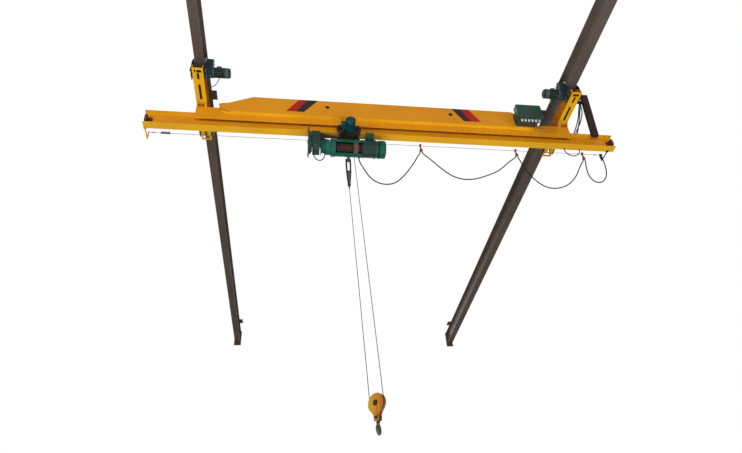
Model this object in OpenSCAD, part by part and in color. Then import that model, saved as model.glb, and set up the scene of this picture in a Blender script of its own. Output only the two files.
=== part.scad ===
// Under-slung single-girder overhead crane with a wire-rope hoist.
// X runs across the bay to the right runway, Y along the runways, Z up.
// The origin is on top of the left runway's middle hanger plate.

/* [Runways] */
// Distance between the two runway centre lines
span = 5500; // [4500:50:7500]
// Distance between hanging points along a runway
bay = 7000; // [5600:100:8000]
// Length of runway past the outer hanging points
rail_over = 500; // [300:10:900]
// Height of a runway beam
rail_h = 320; // [280:5:400]
// Width of a runway flange
rail_w = 130; // [116:2:150]
// Thickness of a runway flange
rail_t = 15; // [11:1:18]
// Thickness of a runway web
rail_web = 10; // [7:1:14]
// Root radius between a runway's web and flange
rail_root = 12; // [6:1:16]
// Thickness of a hanger plate
hanger_t = 16; // [10:1:30]
// Length of a hanger plate across the runway
hanger_l = 270; // [240:5:320]
// Width of a hanger plate along the runway
hanger_w = 170; // [140:5:220]
// Radius of a hanger bolt hole
hanger_hole_r = 9; // [6:0.5:12]
// Thickness of the stop plate across a runway's end
stop_t = 12; // [8:1:20]
// How far a stop plate hangs below the runway
stop_drop = 76; // [66:2:95]

/* [Bridge girder] */
// How far the bridge stands in front of the middle hanging point
bridge_back = 235; // [0:5:600]
// Drop from the runway's underside to the girder's underside
girder_drop = 690; // [640:5:800]
// Length of girder past each runway centre line
cantilever = 750; // [600:10:1000]
// Height of the lower girder beam
beam_h = 250; // [220:5:270]
// Width of the lower girder beam's flanges
beam_w = 116; // [106:2:130]
// Thickness of the lower girder beam's flanges
beam_t = 13; // [10:1:16]
// Thickness of the lower girder beam's web
beam_web = 8; // [6:1:12]
// Root radius of the lower girder beam
beam_root = 10; // [5:1:14]
// Width of the girder's upper box
box_w = 240; // [200:5:280]
// Height of the girder's upper box
box_h = 340; // [300:5:360]
// Thickness of the upper box's plates
box_t = 6; // [5:1:10]
// Distance from the left runway's centre line to the box's left end
box_end_left = 262; // [256:2:320]
// Distance from the right runway's centre line to the box's right end
box_end_right = 450; // [400:5:500]
// Distance from the left runway's centre line to the top of the box's slope
box_slope_left = 728; // [650:2:900]
// Distance from the right runway's centre line to the top of the box's slope
box_slope_right = 832; // [780:2:1000]
// Distance from the box's end to the foot of its slope
box_knee = 138; // [80:2:170]
// Height of the box's end edge
box_end_h = 180; // [150:5:190]
// Radius of the box's lower end corner
box_corner_r = 146; // [60:2:150]
// Distance from a runway centre line to a hole in the box's side
box_hole_x = 1815; // [1500:5:2200]
// Radius of a hole in the box's side
box_hole_r = 32; // [15:1:50]
// Thickness of the skirt plates on the lower beam's upper edges
skirt_t = 8; // [6:1:10]
// How far the skirt plates reach below the lower beam's top
skirt_drop = 118; // [100:2:120]

/* [End carriages] */
// Length of an end carriage
carriage_l = 1310; // [1280:10:1500]
// Width of an end carriage over its sides
carriage_w = 150; // [130:2:170]
// Height of an end carriage's channel
carriage_h = 200; // [150:5:205]
// Thickness of an end carriage's plates
carriage_t = 10; // [6:1:12]
// Clearance between a runway and the end carriage below it
carriage_gap = 24; // [18:1:40]
// How far a saddle reaches out past the runway centre line
saddle_out = 60; // [50:5:80]
// Height of a saddle over the lower beam
saddle_h = 121; // [100:1:126]
// Distance between the bridge's wheel axles
wheelbase = 1060; // [1000:10:1100]
// Tread radius of a bridge wheel
wheel_r = 62; // [50:1:75]
// Width of a bridge wheel's tread
wheel_tread = 34; // [28:1:38]
// Thickness of a bridge wheel's flange
wheel_flange_t = 9; // [6:1:10]
// Height of a bridge wheel's flange over its tread
wheel_flange_h = 10; // [6:1:12]
// Thickness of a wheel bracket plate
bracket_t = 10; // [8:1:14]
// Width of a wheel bracket plate
bracket_w = 170; // [140:5:200]

/* [Bridge drives] */
// Distance from the wheel axle down to the motor's axis
drive_drop = 128; // [110:2:160]
// Distance from the wheel axle to the motor's axis along the runway
drive_shift = 60; // [30:5:80]
// Thickness of the drive's gear case
gearcase_t = 60; // [50:2:80]
// Radius of a bridge drive motor
drive_r = 72; // [60:1:80]
// Length of a bridge drive motor
drive_l = 236; // [200:2:260]

/* [Hoist] */
// Distance from the left runway to the hoist trolley's centre
trolley_x = 2125; // [1500:5:3500]
// Distance between the trolley's wheel axles
trolley_base = 236; // [220:2:280]
// Tread radius of a trolley wheel
twheel_r = 52; // [45:1:55]
// Clearance between a trolley side plate and the girder's flange
trolley_gap = 14; // [12:1:20]
// Thickness of a trolley side plate
tplate_t = 12; // [8:1:16]
// Drop from the girder's underside to the drum's axis
drum_drop = 268; // [260:1:300]
// Outer radius of the hoist's shell
shell_r = 126; // [120:1:134]
// Thickness of the hoist's shell
shell_t = 7; // [5:1:10]
// Distance from the trolley's centre to the shell's left end
shell_left = 212; // [205:1:240]
// Distance from the trolley's centre to the shell's right end
shell_right = 372; // [366:1:400]
// Radius of the drum to the rope's centre line
drum_r = 80; // [70:1:86]
// Distance between two rope grooves
rope_pitch = 12; // [11:0.5:13]
// Diameter of the hoist rope
rope_d = 9; // [7:0.5:10]
// Number of rope turns that stay on the drum
rope_turns = 19; // [12:1:19]
// Number of empty grooves that the rope winds onto while lifting
lift_turns = 18; // [14:1:18]

/* [Hook block] */
// Drop from the drum's axis to the sheave's axis
hook_drop = 3750; // [3200:10:5500]
// Radius of the sheave to the rope's centre line
sheave_r = 100; // [90:1:112]
// Thickness of the sheave's rim
sheave_t = 26; // [24:1:34]
// Thickness of a hook block cheek plate
cheek_t = 6; // [5:1:12]
// Clearance between the sheave and a cheek plate
sheave_gap = 6; // [6:0.5:12]
// Radius of the hook's opening
hook_r = 34; // [28:1:40]
// Thickness of the hook at its bowl
hook_bar = 34; // [28:1:38]
// How far the hook block hangs to the right of the middle between its rope falls
block_swing = 155; // [0:5:180]
// Turn of the hook block about its vertical axis
block_turn = 50; // [0:1:60]
// Turn of the hook against the hook block
hook_turn = 115; // [0:5:180]
// Length of the straps that the wedge socket hangs by
strap_l = 240; // [200:5:280]
// Length of the wedge socket
socket_l = 305; // [240:5:340]

/* [Power supply] */
// Distance from the girder's centre plane to the cable wire
wire_back = 240; // [220:5:280]
// Height of the cable wire over the girder's underside
wire_up = 116; // [100:2:150]
// Diameter of the cable wire
wire_d = 6; // [4:0.5:8]
// Height of a cable carrier below its wire
carrier_h = 110; // [90:2:120]
// Distances from the left runway to the three cable carriers
carrier_xs = [3246, 4755, 5855];
// Diameter of a festoon cable
festoon_d = 17; // [12:1:20]
// Distance from the left runway to the cable mast's foot
mast_x = 5951; // [5920:1:6100]
// Height of the cable mast over the lower beam
mast_h = 530; // [450:10:560]
// Width of the cable mast
mast_w = 104; // [80:2:120]
// Width of the electrical box on the girder
ctrl_w = 395; // [340:5:420]
// Height of the electrical box on the girder
ctrl_h = 290; // [240:5:300]
// Depth of the electrical box on the girder
ctrl_d = 105; // [90:5:130]

/* [Hidden] */

$fn = 48;
skin = 0.3;
over = 1;
rail_yellow = [0.93, 0.62, 0.09];
rail_brown = [0.27, 0.23, 0.22];
teal = [0.07, 0.30, 0.27];
green = [0.05, 0.38, 0.32];
steel_grey = [0.45, 0.45, 0.44];
dark = [0.09, 0.09, 0.09];
carrier_red = [0.70, 0.08, 0.07];

// Runway heights and hanging holes
z_rail_top = -hanger_t;
z_rail = z_rail_top - rail_h;
z_tread = z_rail + rail_t;
rail_near = -bay - rail_over;
rail_far = bay + rail_over;
hanger_hole_x = hanger_l / 2 - 35;
hanger_hole_y = hanger_w / 2 - 30;
stop_side = 20;
buffer_l = 70;
buffer_r = 26;

// Bridge places
y_b = -bridge_back;
z_girder = z_rail - girder_drop;
z_beam = z_girder + beam_h;
z_box = z_beam + box_h;
z_carriage = z_rail - carriage_gap - carriage_h;
girder_x0 = -cantilever;
girder_x1 = span + cantilever;
box_reach_left = box_end_left + box_corner_r;
box_reach_right = box_end_right + box_corner_r;
box_knee_drop = box_end_h - 26;
box_face = y_b - box_w / 2;
skirt_y = beam_w / 2;
z_axle = z_tread + wheel_r + skin;
axle_near = y_b - wheelbase / 2;
axle_far = y_b + wheelbase / 2;
axle_r = 16;
bracket_x = rail_w / 2 + 25;
hub_cap = 22;
gearcase_x = bracket_x + bracket_t + hub_cap + skin;
z_drive = z_axle - drive_drop;
y_drive = axle_near + drive_shift;
stop_l = 38;
stop_up = 40;

// Hoist places
z_flange = z_girder + beam_t;
z_taxle = z_flange + twheel_r + skin;
z_drum = z_girder - drum_drop;
tplate_y = beam_w / 2 + trolley_gap;
taxle_r = 13;
hang_x = 95;
hang_drop = 70;
hang_r = 18;
shell_in = shell_r - shell_t;
shell_x0 = trolley_x - shell_left;
shell_x1 = trolley_x + shell_right;
window_x0 = trolley_x - 196;
window_x1 = trolley_x + 178;
window_top = 2;
window_bottom = 80;
cord_lug_x = trolley_x + 155;
ring_h = 8;
journal_r = 25;
journal_depth = 40;
gearbox_l = 48;
gearbox_step = 77;
gearbox_cap = 25;
hbox_x0 = trolley_x - 524;
hbox_x1 = trolley_x - 422;
hbox_top = z_girder - 89;
hbox_bottom = z_drum - 64;
hplate_x = trolley_x - 588;
hplate_t = 16;

// Drum and ropes
groove_lead = 14;
fall_x = trolley_x + 70;
y_fall = y_b + drum_r;
drum_x0 = fall_x - (rope_turns + 0.5) * rope_pitch - groove_lead;
drum_x1 = shell_x1 - 20;
drum_rim = 9;
guide_x0 = fall_x - 14;
guide_x1 = fall_x + 50;
anchor_x = trolley_x - 4;
anchor_y = y_b + shell_r + 24;
z_lug = z_drum - 85;
strap_x = 24;
z_strap = z_lug - strap_l;
z_socket = z_strap - socket_l;
block_x = (anchor_x + fall_x) / 2 + block_swing;
block_y = (anchor_y + y_fall) / 2;
z_sheave = z_drum - hook_drop;
cheek_y = sheave_t / 2 + sheave_gap;
cheek_r = sheave_r + 9;
pin_r = 18;
cross_r = 14;
z_cross = -160;
hook_drop_bowl = 277;

// Supply places
wire_y = y_b + wire_back;
wire_z = z_girder + wire_up;
clamp_x = span + 650;
clamp_dx = 24;
hang_z = wire_z - carrier_h;
clamp_z = z_girder - 8;
hang_dx = 13;
carrier_body = 40;
ctrl_x = span - 827;
ctrl_back = box_face - 80;
ctrl_z = z_beam + 24;
mast_lean_x = 142;
mast_lean_y = 365;
mast_d = 50;

// Cable routes: points chosen by hand along each centre line
festoon_route_1 = [[2280, -69, -1298], [2280, -69, -1340], [2300, -59, -1405], [2337, -44, -1475],
    [2382, -28, -1555], [2436, -15, -1635], [2510, -5, -1700], [2605, 2, -1735],
    [2710, 5, -1733], [2810, 5, -1690], [2900, 5, -1597], [2980, 5, -1492],
    [3054, 5, -1376], [3125, 5, -1250], [3185, 5, -1135], [3224, 5, -1066], [3233, 5, -1020]];
festoon_route_2 = [[3259, 5, -1020], [3262, 5, -1052], [3290, 5, -1100], [3350, 5, -1165],
    [3418, 5, -1250], [3495, 5, -1347], [3580, 5, -1440], [3680, 5, -1522],
    [3790, 5, -1565], [3910, 5, -1573], [4030, 5, -1547], [4150, 5, -1498],
    [4270, 5, -1440], [4385, 5, -1370], [4490, 5, -1280], [4590, 5, -1175],
    [4680, 5, -1100], [4728, 5, -1058], [4742, 5, -1020]];
festoon_route_3 = [[4768, 5, -1020], [4770, 5, -1055], [4785, 5, -1120], [4812, 5, -1225],
    [4850, 5, -1345], [4905, 5, -1465], [4985, 5, -1580], [5090, 5, -1660],
    [5210, 5, -1677], [5330, 5, -1650], [5440, 5, -1590], [5540, 5, -1500],
    [5630, 5, -1385], [5710, 5, -1250], [5785, 5, -1125], [5832, 5, -1062], [5842, 5, -1020]];
festoon_route_4 = [[5868, 5, -1020], [5868, 5, -1055], [5852, 5, -1140], [5838, 5, -1230],
    [5834, 5, -1320], [5842, 5, -1400], [5870, 5, -1470], [5925, 5, -1512],
    [5990, 5, -1510], [6050, 5, -1470], [6103, 5, -1400], [6141, 5, -1310],
    [6164, 5, -1210], [6173, 5, -1110], [6174, 5, -1010], [6174, 5, -924]];
hoist_route = [[1612, -235, -1358], [1612, -235, -1400], [1620, -235, -1462], [1646, -235, -1526],
    [1690, -235, -1562], [1738, -235, -1548], [1766, -235, -1495], [1775, -235, -1430], [1776, -235, -1354]];
girder_route = [[5440, -200, -1026], [5440, -200, -1056], [5456, -194, -1104], [5498, -188, -1146],
    [5562, -184, -1162], [5626, -188, -1146], [5670, -194, -1104], [5686, -200, -1056],
    [5686, -200, -1026]];
mast_route_1 = [[5762, -548, -346], [5756, -548, -375], [5738, -540, -420], [5722, -510, -490],
    [5712, -465, -570], [5706, -410, -645], [5702, -350, -705], [5700, -300, -745], [5700, -277, -776]];
mast_route_2 = [[5738, -548, -346], [5728, -552, -380], [5700, -556, -450], [5672, -548, -540],
    [5656, -510, -630], [5648, -440, -700], [5644, -360, -740], [5642, -300, -756], [5642, -277, -776]];
mast_route_3 = [[5714, -548, -346], [5708, -560, -385], [5698, -590, -460], [5690, -600, -560],
    [5684, -570, -650], [5678, -490, -715], [5673, -390, -745], [5671, -310, -752], [5671, -277, -776]];

// An I-section in the XY plane, standing on its lower flange, with rounded roots
module i_section(h, w, t, web, root) {
    difference() {
        translate([-w / 2, 0]) square([w, h]);
        for (side = [-1, 1])
            difference() {
                translate([side > 0 ? web / 2 : -w / 2 - over, t])
                    square([w / 2 - web / 2 + over, h - 2 * t]);
                for (up = [0, 1])
                    difference() {
                        translate([side > 0 ? web / 2 : -web / 2 - root, up ? h - t - root : t])
                            square([root, root]);
                        translate([side * (web / 2 + root), up ? h - t - root : t + root])
                            circle(r = root);
                    }
            }
    }
}

// Extrudes a profile drawn in XY along +Y, with the profile's y axis upwards
module along_y(y0, y1) {
    translate([0, y1, 0]) rotate([90, 0, 0]) linear_extrude(y1 - y0) children();
}

// Extrudes a profile drawn in XY along +X: profile x becomes Y, profile y becomes Z
module along_x(x0, x1) {
    translate([x0, 0, 0]) rotate([90, 0, 90]) linear_extrude(x1 - x0) children();
}

// A box between two corners
module block(a, b) {
    translate([a[0], a[1], a[2]]) cube([b[0] - a[0], b[1] - a[1], b[2] - a[2]]);
}

// A cylinder along X from x0 to x1
module rod_x(x0, x1, y, z, r) {
    translate([x0, y, z]) rotate([0, 90, 0]) cylinder(h = x1 - x0, r = r);
}

// A cylinder along Y from y0 to y1
module rod_y(y0, y1, x, z, r) {
    translate([x, y1, z]) rotate([90, 0, 0]) cylinder(h = y1 - y0, r = r);
}

// A rectangle with rounded corners, centred
module round_rect(w, h, r) {
    union() {
        square([w - 2 * r, h], center = true);
        square([w, h - 2 * r], center = true);
        for (x = [-1, 1], y = [-1, 1]) translate([x * (w / 2 - r), y * (h / 2 - r)]) circle(r = r);
    }
}

// Mirrors its children to the other end of the bridge
module other_end() {
    translate([span, 0, 0]) mirror([1, 0, 0]) children();
}

// A ring on the drum's axis
module drum_ring(x0, x1, ro, ri) {
    difference() {
        rod_x(x0, x1, y_b, z_drum, ro);
        rod_x(x0 - over, x1 + over, y_b, z_drum, ri);
    }
}

// Turns its children, drawn with Y across the block, to where the hook block hangs
module at_block(turn) {
    translate([block_x, block_y, z_sheave]) rotate([0, 0, turn]) children();
}

// A finned motor along +X from x0: front flange, ribbed body, fan cover and a box on top
module motor(x0, y, z, r, l, fins, box) {
    body = l * 0.7;
    cover = l * 0.3;
    root = r - 10;
    fin_t = 4;
    flange = 12;
    union() {
        rod_x(x0, x0 + flange, y, z, r + 4);
        rod_x(x0 + flange, x0 + body, y, z, root + 2);
        for (k = [0:fins - 1])
            translate([x0 + flange, y, z])
                rotate([k * 360 / fins, 0, 0])
                    translate([0, -fin_t / 2, root]) cube([body - flange - 2, fin_t, r - root]);
        translate([x0 + body, y, z])
            rotate([0, 90, 0])
                rotate_extrude()
                    polygon([[0, 0], [r, 0], [r, cover * 0.7], [r - 8, cover], [0, cover]]);
        translate([x0 + l * 0.18, y - box / 2, z + r - 12]) cube([box, box, 12 + box * 0.55]);
    }
}

// Runway beams

module runway(x) {
    color(rail_brown)
        translate([x, 0, z_rail])
            along_y(rail_near, rail_far) i_section(rail_h, rail_w, rail_t, rail_web, rail_root);
}

module hanger_plates() {
    color(rail_brown)
        for (x = [0, span], k = [-1, 0, 1])
            translate([x, k * bay, z_rail_top])
                difference() {
                    translate([-hanger_l / 2, -hanger_w / 2, 0]) cube([hanger_l, hanger_w, hanger_t]);
                    for (sx = [-1, 1], sy = [-1, 1])
                        translate([sx * hanger_hole_x, sy * hanger_hole_y, -over])
                            cylinder(h = hanger_t + 2 * over, r = hanger_hole_r);
                }
}

module runway_stops() {
    color(rail_brown)
        for (x = [0, span], y = [rail_near - stop_t, rail_far])
            block([x - rail_w / 2 - stop_side, y, z_rail - stop_drop],
                [x + rail_w / 2 + stop_side, y + stop_t, z_rail_top]);
}

module runway_buffers() {
    color(dark)
        for (x = [0, span], s = [-1, 1])
            translate([x, s > 0 ? rail_far : rail_near, z_rail - stop_drop / 2 - 6])
                rotate([s > 0 ? 90 : -90, 0, 0])
                    cylinder(h = buffer_l, r1 = buffer_r, r2 = buffer_r - 6);
}

// Bridge girder

module girder_beam() {
    color(rail_yellow)
        translate([0, y_b, z_girder])
            along_x(girder_x0, girder_x1) i_section(beam_h, beam_w, beam_t, beam_web, beam_root);
}

// Half outline of the box's side in XZ from one end to past the middle, set in by a margin
module box_half(end, slope, m) {
    mid = span / 2 + over;
    union() {
        polygon([[end + m, z_box - box_end_h], [end + box_knee, z_box - box_knee_drop - m],
            [slope, z_box - m], [mid, z_box - m], [mid, z_beam + m], [end + box_corner_r, z_beam + m],
            [end + box_corner_r, z_beam + box_corner_r], [end + m, z_beam + box_corner_r]]);
        intersection() {
            translate([end + box_corner_r, z_beam + box_corner_r]) circle(r = box_corner_r - m);
            translate([end - over, z_beam - over]) square([box_corner_r + over, box_corner_r + over]);
        }
    }
}

module box_outline(m) {
    union() {
        box_half(box_end_left, box_slope_left, m);
        translate([span, 0]) mirror([1, 0]) box_half(box_end_right, box_slope_right, m);
    }
}

module girder_box() {
    hole_z = (z_beam + z_box) / 2 + 35;
    color(rail_yellow)
        difference() {
            along_y(box_face, y_b + box_w / 2) box_outline(0);
            along_y(box_face + box_t, y_b + box_w / 2 - box_t) box_outline(box_t);
            for (x = [box_hole_x, span - box_hole_x])
                rod_y(box_face - over, y_b + box_w / 2 + over, x, hole_z, box_hole_r);
        }
}

// Plates on the lower beam's upper edges, between the saddles
module girder_skirts() {
    color(rail_yellow)
        for (y = [y_b - skirt_y - skirt_t, y_b + skirt_y])
            block([box_reach_left, y, z_beam - skirt_drop],
                [span - box_reach_right, y + skirt_t, z_beam - skin]);
}

// A saddle over the lower beam that carries one end of the girder on its carriage
module saddle(end, slope) {
    reach = end + box_corner_r;
    z_top = z_beam + saddle_h;
    y_out = skirt_y + skirt_t;
    plate = 10;
    post = carriage_w / 2 - 12;
    y_flare = y_out + 44;
    difference() {
        union() {
            for (y = [y_b - y_out, y_b + skirt_y])
                block([-saddle_out, y, z_beam - skirt_drop], [reach, y + skirt_t, z_top]);
            block([-saddle_out, y_b - y_out, z_top - plate], [reach, y_b + y_out, z_top]);
            for (x = [-saddle_out, post - plate])
                block([x, y_b - y_out, z_beam], [x + plate, y_b + y_out, z_top - plate + over]);
        }
        along_y(y_b - y_out - over, y_b + y_out + over) box_half(end, slope, -skin);
    }
    for (x = [-post, post - plate])
        translate([0, y_b, 0])
            along_x(x, x + plate)
                polygon([[-y_out, z_top], [y_out, z_top], [y_flare, z_carriage - 14],
                    [y_flare, z_carriage], [-y_flare, z_carriage], [-y_flare, z_carriage - 14]]);
    block([-post, y_b - plate / 2, z_top], [post, y_b + plate / 2, z_carriage]);
}

module saddle_left() {
    color(rail_yellow) saddle(box_end_left, box_slope_left);
}

module saddle_right() {
    color(rail_yellow) other_end() saddle(box_end_right, box_slope_right);
}

module end_carriage() {
    slot_w = 34;
    slot_r = 12;
    toe = 90;
    toe_h = 70;
    l2 = carriage_l / 2;
    difference() {
        along_x(-carriage_w / 2, carriage_w / 2)
            polygon([[y_b - l2, z_carriage], [y_b + l2, z_carriage], [y_b + l2, z_carriage + toe_h],
                [y_b + l2 - toe, z_carriage + carriage_h], [y_b - l2 + toe, z_carriage + carriage_h],
                [y_b - l2, z_carriage + toe_h]]);
        block([-carriage_w / 2 + carriage_t, y_b - l2 - over, z_carriage + carriage_t],
            [carriage_w / 2 - carriage_t, y_b + l2 + over, z_carriage + carriage_h + over]);
        for (s = [-1, 1], slot = [[250, slot_w, 266], [522, slot_w, 110], [l2 - 50, 100, 46]])
            translate([0, y_b + s * slot[0], z_carriage - over])
                linear_extrude(carriage_t + 2 * over) round_rect(slot[1], slot[2], slot_r);
    }
}

module end_carriage_left() {
    color(rail_yellow) end_carriage();
}

module end_carriage_right() {
    color(rail_yellow) other_end() end_carriage();
}

// Bracket plate outline in YZ around a wheel axle
module bracket_outline(y) {
    ear = 48;
    shoulder = 95;
    union() {
        translate([y, z_axle]) circle(r = ear);
        polygon([[y - ear, z_axle], [y + ear, z_axle], [y + bracket_w / 2, z_axle - shoulder],
            [y + bracket_w / 2, z_carriage + carriage_t], [y - bracket_w / 2, z_carriage + carriage_t],
            [y - bracket_w / 2, z_axle - shoulder]]);
    }
}

// Two bracket plates at each wheel axle, on packers on the carriage's sides, with stub axles
module wheel_brackets() {
    boss_r = 34;
    boss_t = 10;
    axle_in = rail_web / 2 + 14;
    for (y = [axle_near, axle_far], s = [0, 1])
        mirror([s, 0, 0]) {
            along_x(bracket_x, bracket_x + bracket_t) bracket_outline(y);
            block([carriage_w / 2, y - bracket_w / 2 + 15, z_carriage + carriage_t + 10],
                [bracket_x, y + bracket_w / 2 - 40, z_carriage + carriage_h - 90]);
            rod_x(axle_in, bracket_x + bracket_t + hub_cap, y, z_axle, axle_r);
            rod_x(bracket_x + bracket_t, bracket_x + bracket_t + boss_t, y, z_axle, boss_r);
        }
}

module wheel_brackets_left() {
    color(teal) wheel_brackets();
}

module wheel_brackets_right() {
    color(teal) other_end() wheel_brackets();
}

// A flanged wheel on the X axis: tread towards the web, flange outside the rail's edge
module rail_wheel(edge) {
    bore = axle_r + skin;
    hub = 40;
    hub_end = edge + wheel_flange_t + 3;
    rotate([0, 90, 0])
        rotate_extrude()
            polygon([[bore, edge - wheel_tread], [wheel_r - 3, edge - wheel_tread],
                [wheel_r, edge - wheel_tread + 3], [wheel_r, edge],
                [wheel_r + wheel_flange_h - 2, edge + 2], [wheel_r + wheel_flange_h, edge + 4],
                [wheel_r + wheel_flange_h, edge + wheel_flange_t], [hub, edge + wheel_flange_t],
                [hub - 2, hub_end], [bore, hub_end]]);
}

module bridge_wheels(y) {
    wheel_gap = 6;
    color(steel_grey)
        for (x = [0, span], s = [0, 1])
            translate([x, y, z_axle])
                mirror([s, 0, 0]) rail_wheel(rail_w / 2 + wheel_gap);
}

module drive_gearcase() {
    upper_r = 58;
    lower_r = 78;
    difference() {
        along_x(bracket_x + bracket_t, gearcase_x + gearcase_t)
            union() {
                translate([axle_near, z_axle]) circle(r = upper_r);
                translate([y_drive, z_drive]) circle(r = lower_r);
                polygon([[axle_near - upper_r, z_axle], [axle_near + upper_r - 4, z_axle + 20],
                    [y_drive + lower_r, z_drive + 10], [y_drive - lower_r + 2, z_drive - 18]]);
            }
        rod_x(bracket_x, gearcase_x, axle_near, z_axle, 38);
    }
}

module drive_gearcase_left() {
    color(teal) drive_gearcase();
}

module drive_gearcase_right() {
    color(teal) other_end() drive_gearcase();
}

module drive_motor() {
    fins = 18;
    box = 66;
    motor(gearcase_x + gearcase_t, y_drive, z_drive, drive_r, drive_l, fins, box);
}

module drive_motor_left() {
    color(green) drive_motor();
}

module drive_motor_right() {
    color(green) other_end() drive_motor();
}

// End stops bolted to the lower beam's web, with their buffers
module girder_stops() {
    color(dark)
        for (end = [0, 1], s = [0, 1])
            translate([end * span, y_b, 0])
                mirror([end, 0, 0])
                    mirror([0, s, 0]) {
                        block([girder_x0 + 12, beam_web / 2, z_flange + stop_up],
                            [girder_x0 + 12 + stop_l, beam_w / 2, z_flange + stop_up + 110]);
                        block([girder_x0 + 12 + stop_l, beam_web / 2, z_flange + stop_up + 20],
                            [girder_x0 + 72 + stop_l, beam_web / 2 + 10, z_flange + stop_up + 90]);
                    }
}

// Electrical box on a ledge and two spacers in front of the girder's right end
module control_box() {
    lid_t = 8;
    lid_in = 7;
    ledge_l = 300;
    ledge_t = 8;
    foot = 30;
    color(green)
        union() {
            translate([ctrl_x + ctrl_w / 2, 0, ctrl_z + ctrl_h / 2]) {
                along_y(ctrl_back - ctrl_d + lid_t, ctrl_back) round_rect(ctrl_w, ctrl_h, 10);
                along_y(ctrl_back - ctrl_d, ctrl_back - ctrl_d + lid_t)
                    round_rect(ctrl_w - 2 * lid_in, ctrl_h - 2 * lid_in, 8);
            }
            block([ctrl_x + foot / 2, ctrl_back, ctrl_z + ledge_t],
                [ctrl_x + ledge_l, box_face, ctrl_z + 2 * ledge_t]);
            for (x = [ctrl_x + foot, ctrl_x + ctrl_w / 2])
                block([x, ctrl_back, ctrl_z + ctrl_h / 3], [x + foot, box_face, ctrl_z + ctrl_h / 3 + foot]);
        }
}

module cable_glands() {
    glands = 6;
    gland_in = 62;
    gland_step = (ctrl_w - 2 * gland_in) / (glands - 1);
    nut_h = 8;
    body_h = 22;
    color(steel_grey)
        for (k = [0:glands - 1])
            translate([ctrl_x + gland_in + k * gland_step, ctrl_back - ctrl_d / 2, ctrl_z - nut_h]) {
                cylinder(h = nut_h, r = 18, $fn = 6);
                translate([0, 0, -body_h]) cylinder(h = body_h, r = 13);
            }
}

// Brackets that clamp the lower beam's far flange edge and hold the cable wire
module wire_brackets() {
    edge = y_b + beam_w / 2;
    arm_t = 8;
    clip = 30;
    half = 18;
    arm = 8;
    upright_t = 10;
    upright_w = 24;
    clamp_h = 28;
    color(dark) {
        for (x = [girder_x0 + half, clamp_x]) {
            block([x - half, edge, z_girder - arm_t], [x + half, edge + arm_t, z_girder + clip]);
            block([x - half, edge - clip, z_girder - arm_t], [x + half, edge, z_girder]);
            block([x - arm, edge + arm_t, z_girder - arm_t], [x + arm, wire_y + upright_w / 2, z_girder]);
            block([x - upright_t / 2, wire_y - upright_w / 2, z_girder],
                [x + upright_t / 2, wire_y + upright_w / 2, wire_z + clamp_h / 2]);
        }
        block([clamp_x + upright_t / 2, wire_y - upright_w / 2, wire_z - clamp_h / 2],
            [clamp_x + clamp_dx + 14, wire_y + upright_w / 2, wire_z + clamp_h / 2]);
    }
}

module cable_wire() {
    bottle_r = 12;
    bottle_l = 120;
    bottle_x = girder_x0 + 190;
    color(steel_grey) {
        rod_x(girder_x0 + 23, clamp_x - 5, wire_y, wire_z, wire_d / 2);
        rod_x(bottle_x, bottle_x + bottle_l, wire_y, wire_z, bottle_r);
    }
}

// Leaning mast on the upper flange's near edge, with a clamp plate for the cables at its top
module cable_mast() {
    foot_h = 80;
    foot_y = y_b - beam_w / 2 - mast_d;
    top_x = mast_x - mast_lean_x;
    top_y = y_b - mast_lean_y;
    plate_t = 10;
    plate_out = 60;
    plate_z = z_beam + mast_h - 100;
    color(dark) {
        block([mast_x - mast_w / 2, foot_y, z_beam - foot_h + 10],
            [mast_x + mast_w / 2, foot_y + mast_d, z_beam + 10]);
        hull() {
            translate([mast_x - mast_w / 2, foot_y, z_beam - foot_h + 10]) cube([mast_w, mast_d, 2]);
            translate([top_x - mast_w / 2, top_y - mast_d / 2, z_beam + mast_h - 2])
                cube([mast_w, mast_d, 2]);
        }
        block([top_x - mast_w / 2 - plate_out, top_y + mast_d / 2, plate_z],
            [top_x + mast_w / 2, top_y + 80, plate_z + plate_t]);
    }
}

// Hoist trolley

module tplate_outline() {
    b = trolley_base / 2;
    toe = 55;
    polygon([[-b - toe, z_taxle + 30], [-b - 30, z_taxle + 58], [b + 30, z_taxle + 58],
        [b + toe, z_taxle + 30], [b + toe, z_taxle - 50], [b + 20, z_girder - hang_drop - 35],
        [-b - 20, z_girder - hang_drop - 35], [-b - toe, z_taxle - 50]]);
}

module trolley_frame() {
    nut = 14;
    plate_out = tplate_y + tplate_t;
    color(teal)
        translate([trolley_x, y_b, 0]) {
            for (s = [0, 1])
                mirror([0, s, 0]) {
                    along_y(tplate_y, tplate_y + tplate_t) tplate_outline();
                    for (x = [-1, 1])
                        rod_y(beam_web / 2 + nut, plate_out + nut, x * trolley_base / 2, z_taxle, taxle_r);
                }
            for (x = [-hang_x, hang_x])
                rod_y(-plate_out - hang_r, plate_out + hang_r, x, z_girder - hang_drop, hang_r);
        }
}

module trolley_wheel() {
    bore = taxle_r + skin;
    edge = beam_w / 2 + 4;
    tread = 38;
    flange_h = 8;
    rotate([90, 0, 0])
        rotate_extrude()
            polygon([[bore, edge - tread], [twheel_r - 3, edge - tread], [twheel_r, edge - tread + 3],
                [twheel_r, edge], [twheel_r + flange_h, edge + 2], [twheel_r + flange_h, edge + 7],
                [30, edge + 7], [bore, edge + 9.5]]);
}

module trolley_wheels(side) {
    color(dark)
        for (s = [1, 0])
            translate([trolley_x + side * trolley_base / 2, y_b, z_taxle])
                mirror([0, s, 0]) trolley_wheel();
}

module trolley_motor() {
    case_r = 78;
    case_l = 40;
    motor_r = 74;
    motor_l = 140;
    color(teal)
        translate([trolley_x + 11, y_b - tplate_y - tplate_t, z_taxle - 20])
            union() {
                rotate([90, 0, 0]) cylinder(h = case_l, r = case_r);
                translate([0, -case_l, 0]) rotate([0, 0, -90]) motor(0, 0, 0, motor_r, motor_l, 16, 52);
            }
}

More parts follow.
